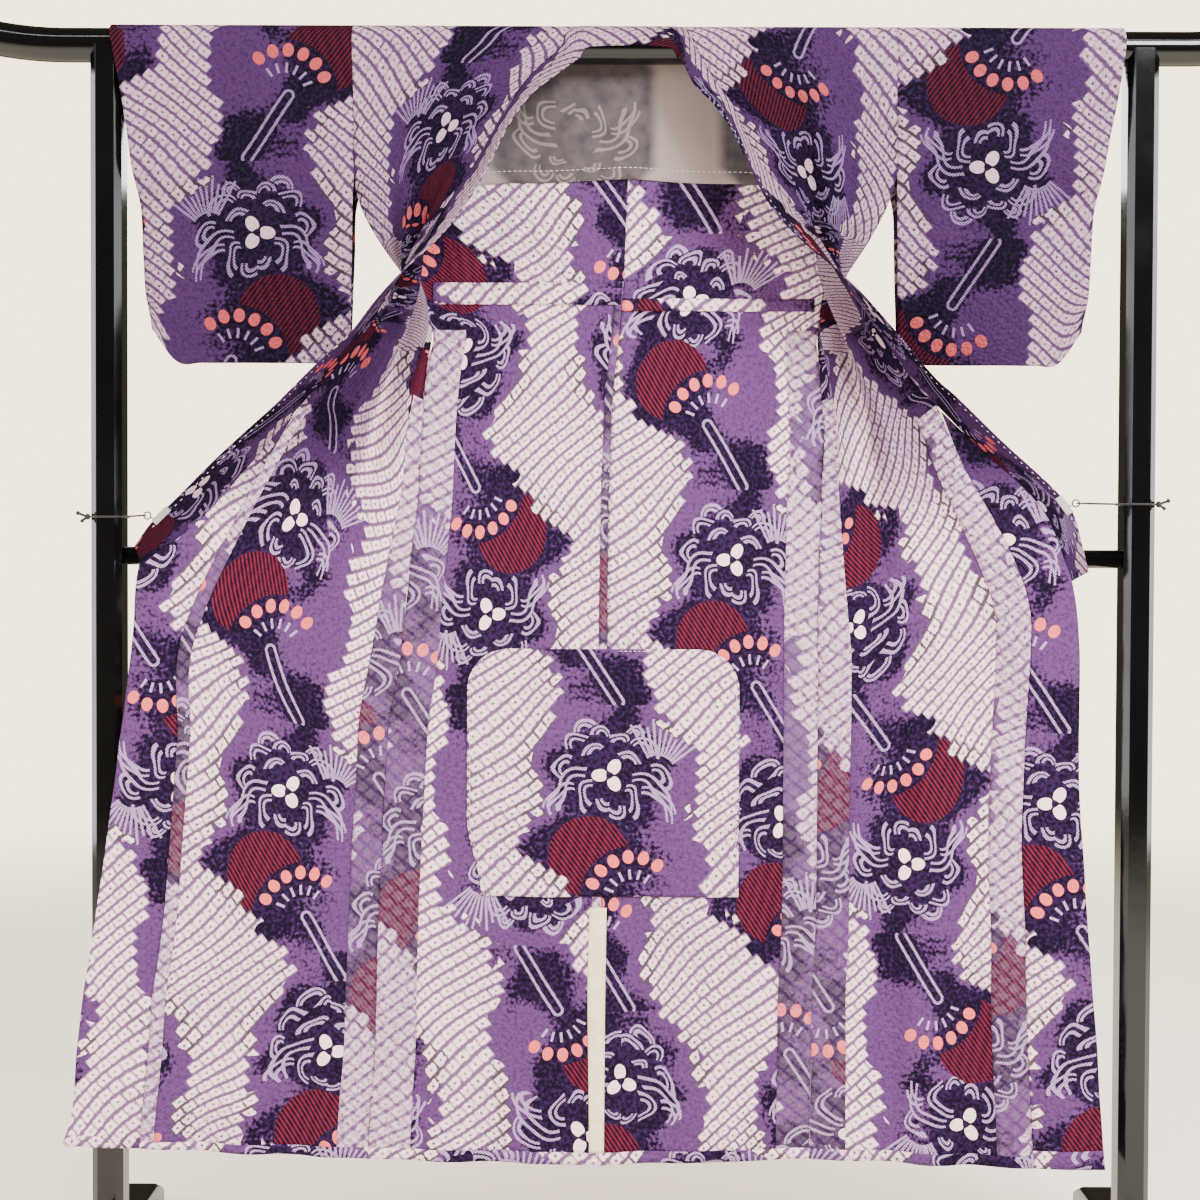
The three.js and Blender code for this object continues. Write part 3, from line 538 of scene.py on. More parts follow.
#  x, y, z
overlapLeft = [
    (-522, -46, 1137), (-588, -40, 1064), (-640, -37, 1022), (-681, -35, 998), (-694, -35, 870),
    (-722, -35, 660), (-744, -35, 500), (-762, -35, 387), (-772, -35, 302), (-779, -35, 218),
    (-792, -35, 169),
]
overlapRight = [
    (500, -51, 1160), (575, -43, 1094), (606, -39, 1045), (633, -35, 975), (645, -35, 880),
    (646, -35, 700), (657, -35, 530), (667, -35, 405), (675, -35, 310), (681, -35, 222), (688, -35, 139),
]
collarEdgeLeft = [
    (-72, -46, 1698), (-104, -64, 1670), (-133, -76, 1643), (-163, -86, 1597), (-186, -94, 1547),
    (-214, -103, 1495), (-252, -115, 1444), (-298, -123, 1399), (-336, -125, 1358), (-373, -118, 1312),
    (-416, -108, 1275), (-463, -97, 1231), (-484, -90, 1212), (-560, -66, 1149), (-628, -48, 1086),
    (-664, -41, 1052), (-688, -38, 1020),
]
collarEdgeRight = [
    (78, -46, 1704), (97, -62, 1662), (120, -76, 1636), (146, -86, 1598), (168, -94, 1552), (194, -103, 1497),
    (229, -115, 1451), (276, -123, 1409), (320, -124, 1369), (360, -117, 1327), (401, -107, 1281),
    (434, -97, 1248), (458, -91, 1229), (524, -74, 1170), (606, -52, 1101), (634, -44, 1066), (656, -38, 988),
]
#  sideAngle, innerAngle, innerX left, innerX right
shoulder = [
    (30, 22, -84, 92), (70, 60, -75, 82), (105, 95, -65, 71), (130, 116, -50, 57), (150, 127, -26, 34),
    (168, 131, 4, 4),
]
nape = (178, 160, 5, 5)
#  angle, radius, x left, x right
neckEdge = [
    (-38, 36, -64, 74), (-24, 31, -59, 69), (-16, 29, -55, 64), (-12, 28.6, -44, 52), (-10, 28.4, -24, 32),
    (-9, 28.4, 4, 4),
]
#  z at the side, x left, x right, z at the centre
upperBack = [
    (1700, -383, 383, 1702), (1640, -380, 382, 1640), (1560, -371, 373, 1560), (1480, -350, 352, 1480),
    (1400, -312, 314, 1400),
]
#  z, outerLeft, outerRight, halfDepth
sleeveRun = [
    (1760, -726, 705, 28.2), (1722, -721, 704, 28.2), (1697, -716, 702, 27.8), (1612, -702, 686, 26.4),
    (1551, -694, 676, 24.5), (1500, -687, 668, 21.5), (1440, -684, 665, 18), (1380, -681, 662, 14),
    (1330, -677, 658, 9), (1281, -672, 652, 1.2),
]


def onBar(x, degrees, radius):
    a = np.radians(degrees)
    return np.stack(np.broadcast_arrays(x, -radius * np.cos(a), bar["z"] + radius * np.sin(a)), -1)


def bodyRows(side):
    left = side < 0
    table = frontLeft if left else frontRight
    u = np.linspace(0, 1, 11)
    front = []
    for i, (sideX, sideY, sideZ, innerX, innerY, innerZ, depth) in enumerate(table):
        start = np.array([sideX, backY(sideX, sideZ) if i >= closedFrom else sideY, sideZ], float)
        run = np.array([innerX, innerY, innerZ]) - start
        out = np.array([-side * run[1], side * run[0], 0]) / math.hypot(run[0], run[1])
        out = lerp(out, np.array([0, 1, 0]), smooth(9, 17, i))
        wave = np.sin(math.pi * u) * np.sin(5 * math.pi * u + 0.5 + i * 0.09)
        front.append(start + np.outer(u, run) + np.outer(depth * wave, out / np.linalg.norm(out)))
    ridge = []
    for sideAngle, innerAngle, innerLeft, innerRight in shoulder + [nape]:
        x = lerp(384 * side, innerLeft if left else innerRight, u)
        ridge.append(onBar(x, lerp(sideAngle, innerAngle, u ** 3), bar["clothRadius"]))
    behind = [(xl if left else xr, zs, zc) for zs, xl, xr, zc in upperBack]
    for i in range(closedFrom, len(table)):
        middle = backHem if i == len(table) - 1 else lerp(frontLeft[i][2], frontRight[i][2], 0.5)
        behind.append((table[i][0], table[i][2], middle))
    back = []
    for x0, z0, z1 in behind:
        z = lerp(z0, z1, u)
        x = lerp(x0, centreX(z), u)
        back.append(np.stack([x, backY(x, z), z], -1))
    return np.array(front[::-1] + ridge + back)


def overlapRows(side):
    seam = np.array([row[3:6] for row in (frontLeft if side < 0 else frontRight)], float)
    outer = np.array(overlapLeft if side < 0 else overlapRight, float)
    down = lerp(seam[kensaki + 1], outer[0], 0.5) - seam[kensaki]
    tip = seam[kensaki] + down / np.linalg.norm(down) * tipDrop
    rows = [np.repeat(tip[None], 4, 0)]
    u = np.linspace(0, 1, 4)
    for i, edge in enumerate(outer):
        row = lerp(seam[kensaki + 1 + i], edge, u[:, None])
        row[:, 1] -= (4 if i > 1 else 1) * np.sin(math.pi * u)
        rows.append(row)
    return np.array(rows)


def collarRows():
    u = np.linspace(0, 1, 5)

    def half(side):
        left = side < 0
        front, over = (frontLeft, overlapLeft) if left else (frontRight, overlapRight)
        rows = []
        for i, edge in enumerate(collarEdgeLeft if left else collarEdgeRight):
            seam = np.array(front[i][3:6] if i <= kensaki else over[i - kensaki - 1], float)
            rows.append(lerp(seam, np.array(edge, float), u[:, None]))
        neck = []
        for seamRow, edgeRow in zip(shoulder, neckEdge):
            _, innerAngle, innerLeft, innerRight = seamRow
            angle, radius, edgeLeft, edgeRight = edgeRow
            x = lerp(innerLeft, edgeLeft, u) if left else lerp(innerRight, edgeRight, u)
            neck.append(onBar(x, lerp(innerAngle, angle, u), lerp(bar["clothRadius"], radius, u)))
        return rows[::-1] + neck

    return np.array(half(-1) + half(1)[::-1][1:])


def sleeveRows(side):
    left = side < 0
    table = frontLeft if left else frontRight
    hem, corner, cuff = 1281, 48, 1530
    u = np.linspace(0, 1, 9)

    def outerX(z):
        return byZ(sleeveRun, z, 1 if left else 2)

    def across(inner, z, face):
        x = lerp(inner[0], outerX(z), u)
        past = np.clip(np.abs(x) - (abs(outerX(hem)) - corner), 0, corner)
        lift = corner - np.sqrt(corner ** 2 - past ** 2)
        sewn = smooth(cuff + 22, cuff - 30, z) * smooth(0.55, 1, u)
        shut = np.maximum(sewn, np.where(past > 0, smooth(1360, hem, z), 0))
        half = lerp(byZ(sleeveRun, z, 3), 1.2, shut)
        ends = np.sin(math.pi * u) * smooth(1700, 1500, z) * smooth(hem, 1380, z) * (1 - sewn)
        y = half + 2.2 * ends * np.sin(9 * u + z / 150)
        y[1] = lerp(abs(inner[1]), half[1], 0.75)
        row = np.stack([x, face * y, z + lift * smooth(1400, hem, z)], -1)
        row[0] = inner
        return row

    def below(z, face):
        inner = lerp(-388, -383, smooth(hem, 1551, z)) if left else lerp(389, 385, smooth(hem, 1551, z))
        return across((inner, face * byZ(sleeveRun, z, 3), z), z, face)

    low = [1500, 1440, 1380, 1330, 1298, 1281]
    rows = [below(z, -1) for z in low[::-1]] + [across(table[i][:3], table[i][2], -1) for i in (3, 2, 1, 0)]
    overBar = lerp(384 * side, outerX(1760), u)
    rows += [onBar(overBar, row[0], bar["clothRadius"]) for row in shoulder + [nape]]
    for z, xLeft, xRight, _ in upperBack[:3]:
        x = xLeft if left else xRight
        rows.append(across((x, backY(x, z), z), z, 1))
    return np.array(rows + [below(z, 1) for z in low])


# one eased curve through the given rows, and the same across the columns
def curved(points, steps):
    padded = np.concatenate([2 * points[:1] - points[1:2], points, 2 * points[-1:] - points[-2:-1]])
    out = []
    for i in range(len(points) - 1):
        a, b, c, d = padded[i:i + 4]
        for t in np.arange(steps) / steps:
            out.append(0.5 * (2 * b + (c - a) * t + (2 * a - 5 * b + 4 * c - d) * t * t
                              + (3 * b - a - 3 * c + d) * t ** 3))
    out.append(points[-1])
    return np.array(out)


def refined(grid, rowSteps=None, columnSteps=None):
    fine = curved(grid, rowSteps or cloth["rowSteps"])
    return curved(fine.swapaxes(0, 1), columnSteps or cloth["columnSteps"]).swapaxes(0, 1)


def normalsOf(grid):
    a = np.gradient(grid, axis=1)
    b = np.gradient(grid, axis=0)
    n = np.cross(a, b)
    size = np.linalg.norm(n, axis=-1, keepdims=True)
    n = n / np.maximum(size, 1e-9)
    n[0] = n[1]
    return n


# small wrinkles of puckered cotton, the same for every piece at one place, so that seams stay shut
rng = np.random.default_rng(7)
#  two parts of the direction, length in mm, phase
wrinkles = [
    (rng.uniform(-1, 1), rng.uniform(-1, 1), rng.uniform(38, 130), rng.uniform(0, 6.28)) for _ in range(26)
]


def wrinkle(x, z, seed=0.0):
    total = np.zeros_like(x)
    for a, b, length, phase in wrinkles:
        size = math.hypot(a, b)
        total += length / 130 * np.sin((x * a + z * b) / size * 2 * math.pi / length + phase + seed)
    return total / 4.2


# creases placed one by one: from and to on the piece's face, half width and depth, mm; a minus is a ridge
#  x, z, x, z, width, depth
backCreases = [
    (-150, 1180, -210, 300, 16, 2.6), (-95, 900, -120, 150, 12, -2.4), (-60, 520, -72, 140, 9, 2.2),
    (60, 1000, 92, 160, 14, -2.4), (150, 1250, 205, 250, 18, 2.8), (215, 760, 232, 150, 12, -2.2),
    (-262, 1300, -250, 700, 15, 2.4), (240, 1310, 248, 800, 13, 2.2), (-160, 1500, -250, 1330, 15, 2.0),
    (150, 1500, 245, 1340, 16, 2.0), (-30, 1500, -80, 1200, 22, 1.6), (40, 1480, 70, 1180, 20, 1.6),
]
frontCreases = [
    (-330, 1300, -425, 500, 14, 4.0), (-360, 1250, -520, 400, 13, -3.4), (-420, 1190, -600, 560, 15, 3.4),
    (-480, 1130, -640, 760, 12, -2.6), (-380, 900, -392, 160, 12, 3.2), (-455, 700, -480, 170, 15, -2.8),
    (-545, 640, -575, 180, 14, 2.6), (-700, 930, -742, 300, 12, 2.4), (-610, 1040, -700, 960, 10, 2.0),
    (330, 1300, 385, 520, 14, 4.0), (352, 1250, 455, 420, 13, -3.4), (400, 1200, 520, 600, 15, 3.4),
    (470, 1140, 560, 800, 12, -2.6), (315, 880, 318, 160, 11, 3.2), (400, 700, 408, 170, 15, -2.8),
    (500, 640, 508, 170, 13, 2.6), (612, 930, 640, 300, 12, 2.2), (560, 1060, 620, 960, 10, 2.0),
    (-330, 1700, -300, 1440, 18, 2.4), (-250, 1690, -290, 1450, 14, -2.0), (335, 1700, 300, 1440, 18, 2.4),
    (262, 1690, 292, 1450, 14, -2.0),
]
sleeveCreases = [
    (-415, 1560, -402, 1310, 12, 3.0), (-455, 1600, -470, 1330, 18, 2.4), (-520, 1500, -560, 1330, 20, -2.0),
    (-410, 1470, -470, 1380, 10, -1.8), (425, 1560, 408, 1310, 12, 3.0), (470, 1600, 480, 1330, 18, 2.4),
    (540, 1500, 570, 1330, 20, -2.0), (600, 1680, 590, 1420, 22, 1.6), (-620, 1680, -600, 1430, 22, 1.6),
]


def creased(x, z, creases):
    total = np.zeros_like(x)
    for x0, z0, x1, z1, width, depth in creases:
        dx, dz = x1 - x0, z1 - z0
        length = math.hypot(dx, dz)
        t = ((x - x0) * dx + (z - z0) * dz) / length ** 2
        aside = ((x - x0) * dz - (z - z0) * dx) / length + 4 * np.sin(t * 5 + x0)
        ends = smooth(-0.02, 0.25, t) * smooth(1.02, 0.6, t)
        total += depth * ends * np.exp(-(aside / width) ** 2)
    return total


def softened(grid, creases, seed=0.0, size=1.0):
    x, y, z = grid[..., 0], grid[..., 1], grid[..., 2]
    free = smooth(1716, 1640, z)
    grid = grid.copy()
    grid[..., 1] = y + free * (1.5 * creased(x, z, creases) + 1.7 * size * wrinkle(x, z, seed))
    return grid


# a grid of middle points as a closed thin shell with a UV map in metres
def shell(name, grid, uv, material, thick=None):
    rows, columns = grid.shape[:2]
    half = normalsOf(grid) * ((thick or cloth["shell"]) / 2)
    points = np.concatenate([(grid + half).reshape(-1, 3), (grid - half).reshape(-1, 3)]) * mm
    index = np.arange(rows * columns).reshape(rows, columns)
    a, b, c, d = index[:-1, :-1], index[:-1, 1:], index[1:, 1:], index[1:, :-1]
    top = np.stack([a, b, c, d], -1).reshape(-1, 4)
    under = top[:, ::-1] + rows * columns
    rim = np.concatenate([index[0, ::-1], index[1:, 0], index[-1, 1:], index[-2::-1, -1]])
    around = np.stack([rim[:-1], rim[1:], rim[1:] + rows * columns, rim[:-1] + rows * columns], -1)
    faces = np.concatenate([top, under, around])
    mesh = bpy.data.meshes.new(name)
    mesh.from_pydata(points.tolist(), [], faces.tolist())
    flat = np.concatenate([uv.reshape(-1, 2)] * 2)[faces.ravel()]
    layer = mesh.uv_layers.new(name="cloth")
    layer.data.foreach_set("uv", flat.ravel())
    mesh.polygons.foreach_set("use_smooth", np.ones(len(faces), bool))
    mesh.materials.append(look[material])
    return addPiece(name, mesh)


def addPiece(name, mesh):
    obj = bpy.data.objects.new(name, mesh)
    bpy.context.collection.objects.link(obj)
    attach(obj, "root")
    return obj


def arcOf(grid):
    middle = grid[:, grid.shape[1] // 2]
    return np.concatenate([[0], np.cumsum(np.linalg.norm(np.diff(middle, axis=0), axis=1))])


def runUv(grid, flip, places):  # places: row of the pattern's grid, u and z of a flower's heart there
    rows, columns = grid.shape[:2]
    u = np.linspace(0, 1, columns)
    arc = arcOf(grid)
    uShift, vShift = np.zeros(rows), np.zeros(rows)
    steps = cloth["rowSteps"]
    for first, last, (flowerU, flowerRow) in places:
        span = slice(int(first * steps), int(last * steps) + 1)
        uShift[span] = flowerU * cloth["runWidth"]
        vShift[span] = np.interp(flowerRow * steps, np.arange(rows), arc)
    across = -(u[None] * cloth["runWidth"] - uShift[:, None])
    along = (arc - vShift)[:, None] * flip + np.zeros_like(across)
    return np.stack([across, along], -1) * mm


def rowAt(grid, z, fromRow, toRow):  # the row of the pattern's grid whose middle has that height
    middle = grid[fromRow:toRow + 1, grid.shape[1] // 2, 2]
    order = np.argsort(middle)
    return fromRow + np.interp(z, middle[order], np.arange(len(middle))[order])


frontRows, ridgeRow = len(frontLeft), len(frontLeft) + 3
flowers = {  # u across the cloth and height of one flower: on the hanging front, on the shoulder, on the back
    "body_left": (1, (0.46, 672), (0.62, 1604), (0.42, 926)),
    "body_right": (-1, (0.45, 575), (0.62, 1540), (0.41, 1003)),
}
grids, pieces, sewnOn = {}, {}, {}


def makeBody(name, side):
    rough = bodyRows(side)
    turn, low, high, back = flowers[name]
    lowRow, highRow = rowAt(rough, low[1], 0, 13), rowAt(rough, high[1], 17, 23)
    backRow = rowAt(rough, back[1], ridgeRow + 4, len(rough) - 1)
    grid = refined(rough)
    total = len(rough) - 1
    uv = runUv(grid, turn, [(0, 16, (low[0], lowRow)), (16.1, ridgeRow, (high[0], highRow)),
                            (ridgeRow + 0.1, total, (back[0], backRow))])
    step = cloth["rowSteps"]
    for c in (0, 1):  # the pattern slides over the bunched folds, where it doesn't show
        a, b = 14 * step, 18 * step
        shift = uv[a:b, :, c] - uv[a:b, :1, c]
        start, end = uv[a, 0, c], uv[b, 0, c]
        uv[a:b, :, c] = shift + np.linspace(start, end, b - a)[:, None]
    split = ridgeRow * step
    front = softened(grid[:split + 1], frontCreases, size=0.9)
    behind = softened(grid[split:], backCreases, 2.0, size=0.8)
    grid = np.concatenate([front, behind[1:]])
    grids[name] = grid
    obj = shell(name + "_cloth", grid, uv, "dyed_cotton")
    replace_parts(obj, name)
    pieces[name], sewnOn[name] = obj, []


makeBody("body_left", -1)
makeBody("body_right", 1)
print("body pieces made")


def flatUv(grid, centre, turn=1, mirror=1):  # a flower's heart at x, z of centre; turn -1 is upside down
    x = (grid[..., 0] - centre[0]) * turn * mirror
    z = (grid[..., 2] - centre[1]) * turn
    return np.stack([x, z], -1) * mm


overlapFlower = {"left": (-622, 678, -1), "right": (612, 660, 1)}
for side, word in ((-1, "left"), (1, "right")):
    grid = softened(refined(overlapRows(side), 9, 6), frontCreases, size=0.9)
    x, z, turn = overlapFlower[word]
    obj = shell(f"overlap_{word}_cloth", grid, flatUv(grid, (x, z), turn), "dyed_cotton")
    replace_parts(obj, f"overlap_{word}")
    pieces[f"overlap_{word}"], sewnOn[f"overlap_{word}"] = obj, []
    grids[f"overlap_{word}"] = grid

sleeveFlower = {"left": (-518, 1445, 1), "right": (511, 1540, -1)}
for side, word in ((-1, "left"), (1, "right")):
    rough = sleeveRows(side)
    grid = softened(refined(rough, 7, 6), sleeveCreases, 4.0 + side, size=0.8)
    x, z, turn = sleeveFlower[word]
    uv = flatUv(grid, (x, z), turn, -1)
    top = int(np.argmax(grid[:, 4, 2]))
    arc = arcOf(grid)
    heights = z - grid[top, 4, 2]
    uv[..., 1] = ((arc - arc[top])[:, None] - heights) * turn * mm
    obj = shell(f"sleeve_{word}_cloth", grid, uv, "outer_shaded_cotton")
    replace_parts(obj, f"sleeve_{word}")
    grids[f"sleeve_{word}"] = grid

collar = softened(refined(collarRows(), 6, 5), frontCreases, size=0.5)
arc = arcOf(collar)
widths = np.linspace(0, 0.12, collar.shape[1])
collarUv = np.stack(np.broadcast_arrays(widths[None] - 0.08, (arc[:, None] - 1620) * mm), -1)
obj = shell("collar_cloth", collar, collarUv, "outer_shaded_cotton", thick=1.6)
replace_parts(obj, "collar")
grids["collar"] = collar
print("overlap, sleeves and collar made")


# what lies on the inside of the back: its own points moved towards the viewer
def onBack(x, z, off):
    y = np.zeros_like(x)
    for name, mask in (("body_left", x < centreX(z)), ("body_right", x >= centreX(z))):
        back = grids[name][(ridgeRow + 4) * cloth["rowSteps"]:]
        points = back.reshape(-1, 3)
        y = np.where(mask, sampled(points, back, x, z), y)
    return np.stack([x, y - off, z], -1)


def sampled(points, back, x, z):  # y of the back at places, by its rows and columns
    heights = back[:, back.shape[1] // 2, 2]
    row = np.interp(z, heights[::-1], np.arange(len(heights))[::-1])
    i = np.clip(row.astype(int), 0, len(heights) - 2)
    t = row - i
    y = np.zeros_like(x)
    for index in np.ndindex(x.shape):
        line = lerp(back[i[index]], back[i[index] + 1], t[index])
        order = line[:, 0] if line[-1, 0] > line[0, 0] else line[::-1, 0]
        values = line[:, 1] if line[-1, 0] > line[0, 0] else line[::-1, 1]
        y[index] = np.interp(x[index], order, values)
    return y


def backSheet(name, x0, x1, zRows, material, off, columns, uv=None):
    z = np.array(zRows, float)[:, None] + np.zeros(columns)
    u = np.linspace(0, 1, columns)
    left = np.array([x0(h) for h in zRows])[:, None] if callable(x0) else x0
    right = np.array([x1(h) for h in zRows])[:, None] if callable(x1) else x1
    x = lerp(left, right, u[None]) + 0 * z
    grid = onBack(x, z, off)
    return shell(name, grid, uv(grid) if uv else flatUv(grid, (-15, 1003)), material, 0.7)


patch = {
    "top": 876, "bottom": 524, "round": 58, "straightTo": 815, "right": 166,
    "leftTop": -220, "leftBottom": -200, "leftTurn": 640, "off": 2.6, "inset": 4, "flower": (-18, 697),
}


def patchCut(z):  # how far a rounded top corner cuts in
    rise = max(0.0, z - (patch["top"] - patch["round"]))
    return patch["round"] - math.sqrt(max(0.0, patch["round"] ** 2 - rise ** 2))


def patchLeft(z):
    turn = float(smooth(patch["bottom"], patch["leftTurn"], z))
    return lerp(patch["leftBottom"], patch["leftTop"], turn) + patchCut(z)


def patchRight(z):
    return patch["right"] - patchCut(z)


patchZ = np.concatenate([
    np.linspace(patch["bottom"], patch["straightTo"], 44), patch["top"] - 60 * np.linspace(1, 0, 20) ** 1.6,
])
obj = backSheet("seat_patch_cloth", patchLeft, patchRight, patchZ, "dyed_cotton", patch["off"], 60,
                uv=lambda grid: flatUv(grid, patch["flower"]))
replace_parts(obj, "seat_patch")
print("patch made")


def liningRows():
    first = (frontRows + len(shoulder)) * cloth["rowSteps"]
    last = first + 4 * cloth["rowSteps"]
    left, right = grids["body_left"][first:last], grids["body_right"][first:last]
    rows = np.concatenate([left[:, 4:], right[:, -2:3:-1]], 1)
    n = normalsOf(rows)
    n[n[..., 1] > 0] *= -1
    grid = rows + n * 2.0
    hem = 1540 - 14 * smooth(150, 330, np.abs(grid[..., 0])) + 6 * smooth(120, 0, np.abs(grid[..., 0]))
    top = grid[:1, :, 2]
    t = (top - grid[..., 2]) / (top - grid[-1:, :, 2])
    wanted = lerp(top, hem, t)
    out = grid.copy()
    for k in range(grid.shape[1]):
        for c in range(3):
            out[:, k, c] = np.interp(-wanted[:, k], -grid[:, k, 2], grid[:, k, c])
    return out


lining = liningRows()
obj = shell("shoulder_lining_cloth", lining, flatUv(lining, (0, 1600)), "lining_cotton", 0.6)
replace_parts(obj, "shoulder_lining")
print("lining made")


# turned-in allowances, hems and tucks: part of a grid, moved towards the viewer
def strip(name, source, rows, columns, material, off, place, turn=1):
    part = (slice(rows[0], rows[1] + 1), slice(columns[0], columns[1] + 1))
    n = normalsOf(grids[source])[part]
    if n[..., 1].mean() > 0:
        n = -n
    grid = grids[source][part] + n * off
    sewnOn[source].append(shell(name, grid, flatUv(grid, place, turn), material, 0.8))


def rowBelow(source, z, first):  # first row from there whose middle lies under that height
    heights = grids[source][first:, grids[source].shape[1] // 2, 2]
    return first + int(np.argmax(heights < z))


lastRow = len(grids["body_left"]) - 1
foldRow, kensakiRow = 13 * cloth["rowSteps"], 11 * cloth["rowSteps"]
backTop, centreTop = (frontRows + 12) * cloth["rowSteps"], 35 * cloth["rowSteps"]
centreEnd = rowBelow("body_left", 515, backTop)
#  name, source, rows, columns, how far off, place of a flower's heart, turn
allowances = [
    ("side_allowance_front_left", "body_left", (0, foldRow), (0, 7), 1.2, (-300, 500), 1),
    ("side_allowance_back_left", "body_left", (backTop, lastRow), (0, 9), 1.5, (-260, 620), 1),
    ("side_allowance_front_right", "body_right", (0, foldRow), (0, 8), 1.2, (250, 560), -1),
    ("side_allowance_back_right", "body_right", (backTop, lastRow), (0, 8), 1.5, (200, 480), 1),
    ("overlap_allowance_left", "body_left", (0, kensakiRow), (47, 50), 1.2, (-500, 350), 1),
    ("overlap_allowance_right", "body_right", (0, kensakiRow), (42, 50), 1.2, (500, 300), -1),
    ("centre_allowance", "body_left", (centreTop, centreEnd), (48, 50), 1.2, (90, 700), 1),
]
for name, source, rows, columns, off, place, turn in allowances:
    strip(name, source, rows, columns, "pale_cotton", off, place, turn)
for side in ("left", "right"):
    body, overlap = f"body_{side}", f"overlap_{side}"
    hemRow = len(grids[overlap]) - 1
    strip(f"front_hem_{side}", body, (0, 2), (0, 50), "dyed_cotton", 2.4, (-470, 110))
    strip(f"back_hem_{side}", body, (lastRow - 2, lastRow), (0, 50), "dyed_cotton", 2.4, (120, 90))
    strip(f"overlap_hem_{side}", overlap, (hemRow - 3, hemRow), (0, 18), "dyed_cotton", 1.2, (-600, 110))
hanging = np.linspace(508, 158, 60)
sewnOn["body_left"] += [
    backSheet("centre_fold", lambda z: centreX(z) - 15.0 + 2 * math.sin(z / 90), lambda z: centreX(z) + 8.0,
              hanging, "plain_cotton", 1.6, 5),
    backSheet("tuck_left", -272, lambda z: centreX(z) - 1, np.linspace(1397, 1366, 5), "dyed_cotton", 2.0, 40,
              uv=lambda grid: flatUv(grid, (-330, 1290))),
]
sewnOn["body_right"] += [
    backSheet("tuck_right", lambda z: centreX(z) + 1, 272, np.linspace(1375, 1357, 4), "dyed_cotton", 2.0, 40,
              uv=lambda grid: flatUv(grid, (330, 1210), -1)),
]
for side in ("left", "right"):
    body, overlap = f"body_{side}", f"overlap_{side}"
print("allowances and hems made")


# sewing: one tree of nodes puts a stitch at every step of a line
sewing = {"step": 7.5, "length": 4.2, "thick": 0.9, "over": 0.7}


def stitchTree():
    tree = bpy.data.node_groups.new("stitches", "GeometryNodeTree")
    tree.is_modifier = True
    sockets = [
        ("Line", "Geometry", "INPUT"), ("Step", "Float", "INPUT"), ("Length", "Float", "INPUT"),
        ("Thickness", "Float", "INPUT"), ("Thread", "Material", "INPUT"), ("Stitches", "Geometry", "OUTPUT"),
    ]
    for name, kind, flow in sockets:
        tree.interface.new_socket(name, in_out=flow, socket_type="NodeSocket" + kind)

    def node(kind, settings=None, links=None):
        made = tree.nodes.new(kind)
        for key, setting in (settings or {}).items():
            setattr(made, key, setting)
        for key, given in (links or {}).items():
            if isinstance(given, bpy.types.NodeSocket):
                tree.links.new(given, made.inputs[key])
            else:
                made.inputs[key].default_value = given
        return made

    given = node("NodeGroupInput").outputs
    even = node("GeometryNodeResampleCurve", {"mode": "LENGTH"},
                {"Curve": given["Line"], "Length": given["Step"]})
    half = node("ShaderNodeMath", {"operation": "MULTIPLY"}, {0: given["Thickness"], 1: 0.5})
    stitch = node("GeometryNodeMeshCylinder", {},
                  {"Vertices": 6, "Radius": half.outputs[0], "Depth": given["Length"]})
    turned = node("FunctionNodeAlignRotationToVector", {"axis": "Z"},
                  {"Vector": node("GeometryNodeInputTangent").outputs[0]})
    cylinder, turn = stitch.outputs["Mesh"], turned.outputs[0]
    placed = node("GeometryNodeInstanceOnPoints", {},
                  {"Points": even.outputs[0], "Instance": cylinder, "Rotation": turn})
    real = node("GeometryNodeRealizeInstances", {}, {"Geometry": placed.outputs[0]})
    thread = node("GeometryNodeSetMaterial", {}, {"Geometry": real.outputs[0], "Material": given["Thread"]})
    node("NodeGroupOutput", {}, {"Stitches": thread.outputs[0]})
    return tree


stitches = stitchTree()


def sew(name, lines, step=None, length=None):
    curve = bpy.data.curves.new(name + "_line", "CURVE")
    curve.dimensions = "3D"
    for line in lines:
        spline = curve.splines.new("POLY")
        spline.points.add(len(line) - 1)
        for point, place in zip(spline.points, line):
            point.co = (*(np.array(place) * mm), 1)
    obj = bpy.data.objects.new(name + "_line", curve)
    bpy.context.collection.objects.link(obj)
    modifier = obj.modifiers.new("stitches", "NODES")
    modifier.node_group = stitches
    sizes = {"Step": (step or sewing["step"]) * mm, "Length": (length or sewing["length"]) * mm,
             "Thickness": sewing["thick"] * mm, "Thread": look["sewing_thread"]}
    for item in stitches.interface.items_tree:
        if item.name in sizes:
            modifier[item.identifier] = sizes[item.name]
    seen = obj.evaluated_get(bpy.context.evaluated_depsgraph_get())
    mesh = bpy.data.meshes.new_from_object(seen)
    obj.modifiers.remove(modifier)
    bpy.data.objects.remove(obj)
    addPiece(name, mesh)


def patchEdge():
    z = np.concatenate([
        np.linspace(patch["bottom"] + 3, patch["straightTo"], 30),
        patch["top"] - 3 - patch["round"] * np.linspace(1, 0, 16) ** 1.6,
    ])
    left = np.array([patchLeft(h) for h in z])
    right = np.array([patchRight(h) for h in z])
    x = np.concatenate([left + patch["inset"], right[::-1] - patch["inset"]])
    return onBack(x[None], np.concatenate([z, z[::-1]])[None], patch["off"] + sewing["over"])[0]


sew("patch_stitches", [patchEdge()], 6.5, 3.6)
sew("lining_stitches", [lining[-1] * 0.17 + lining[-2] * 0.83 - (0, 0.9, -11)])
collarLine = collar[:, 17] - (0, 1.6, 0)
sew("collar_stitches", [collarLine[6:84], collarLine[-84:-6]], 11, 3.0)
print("sewing made")


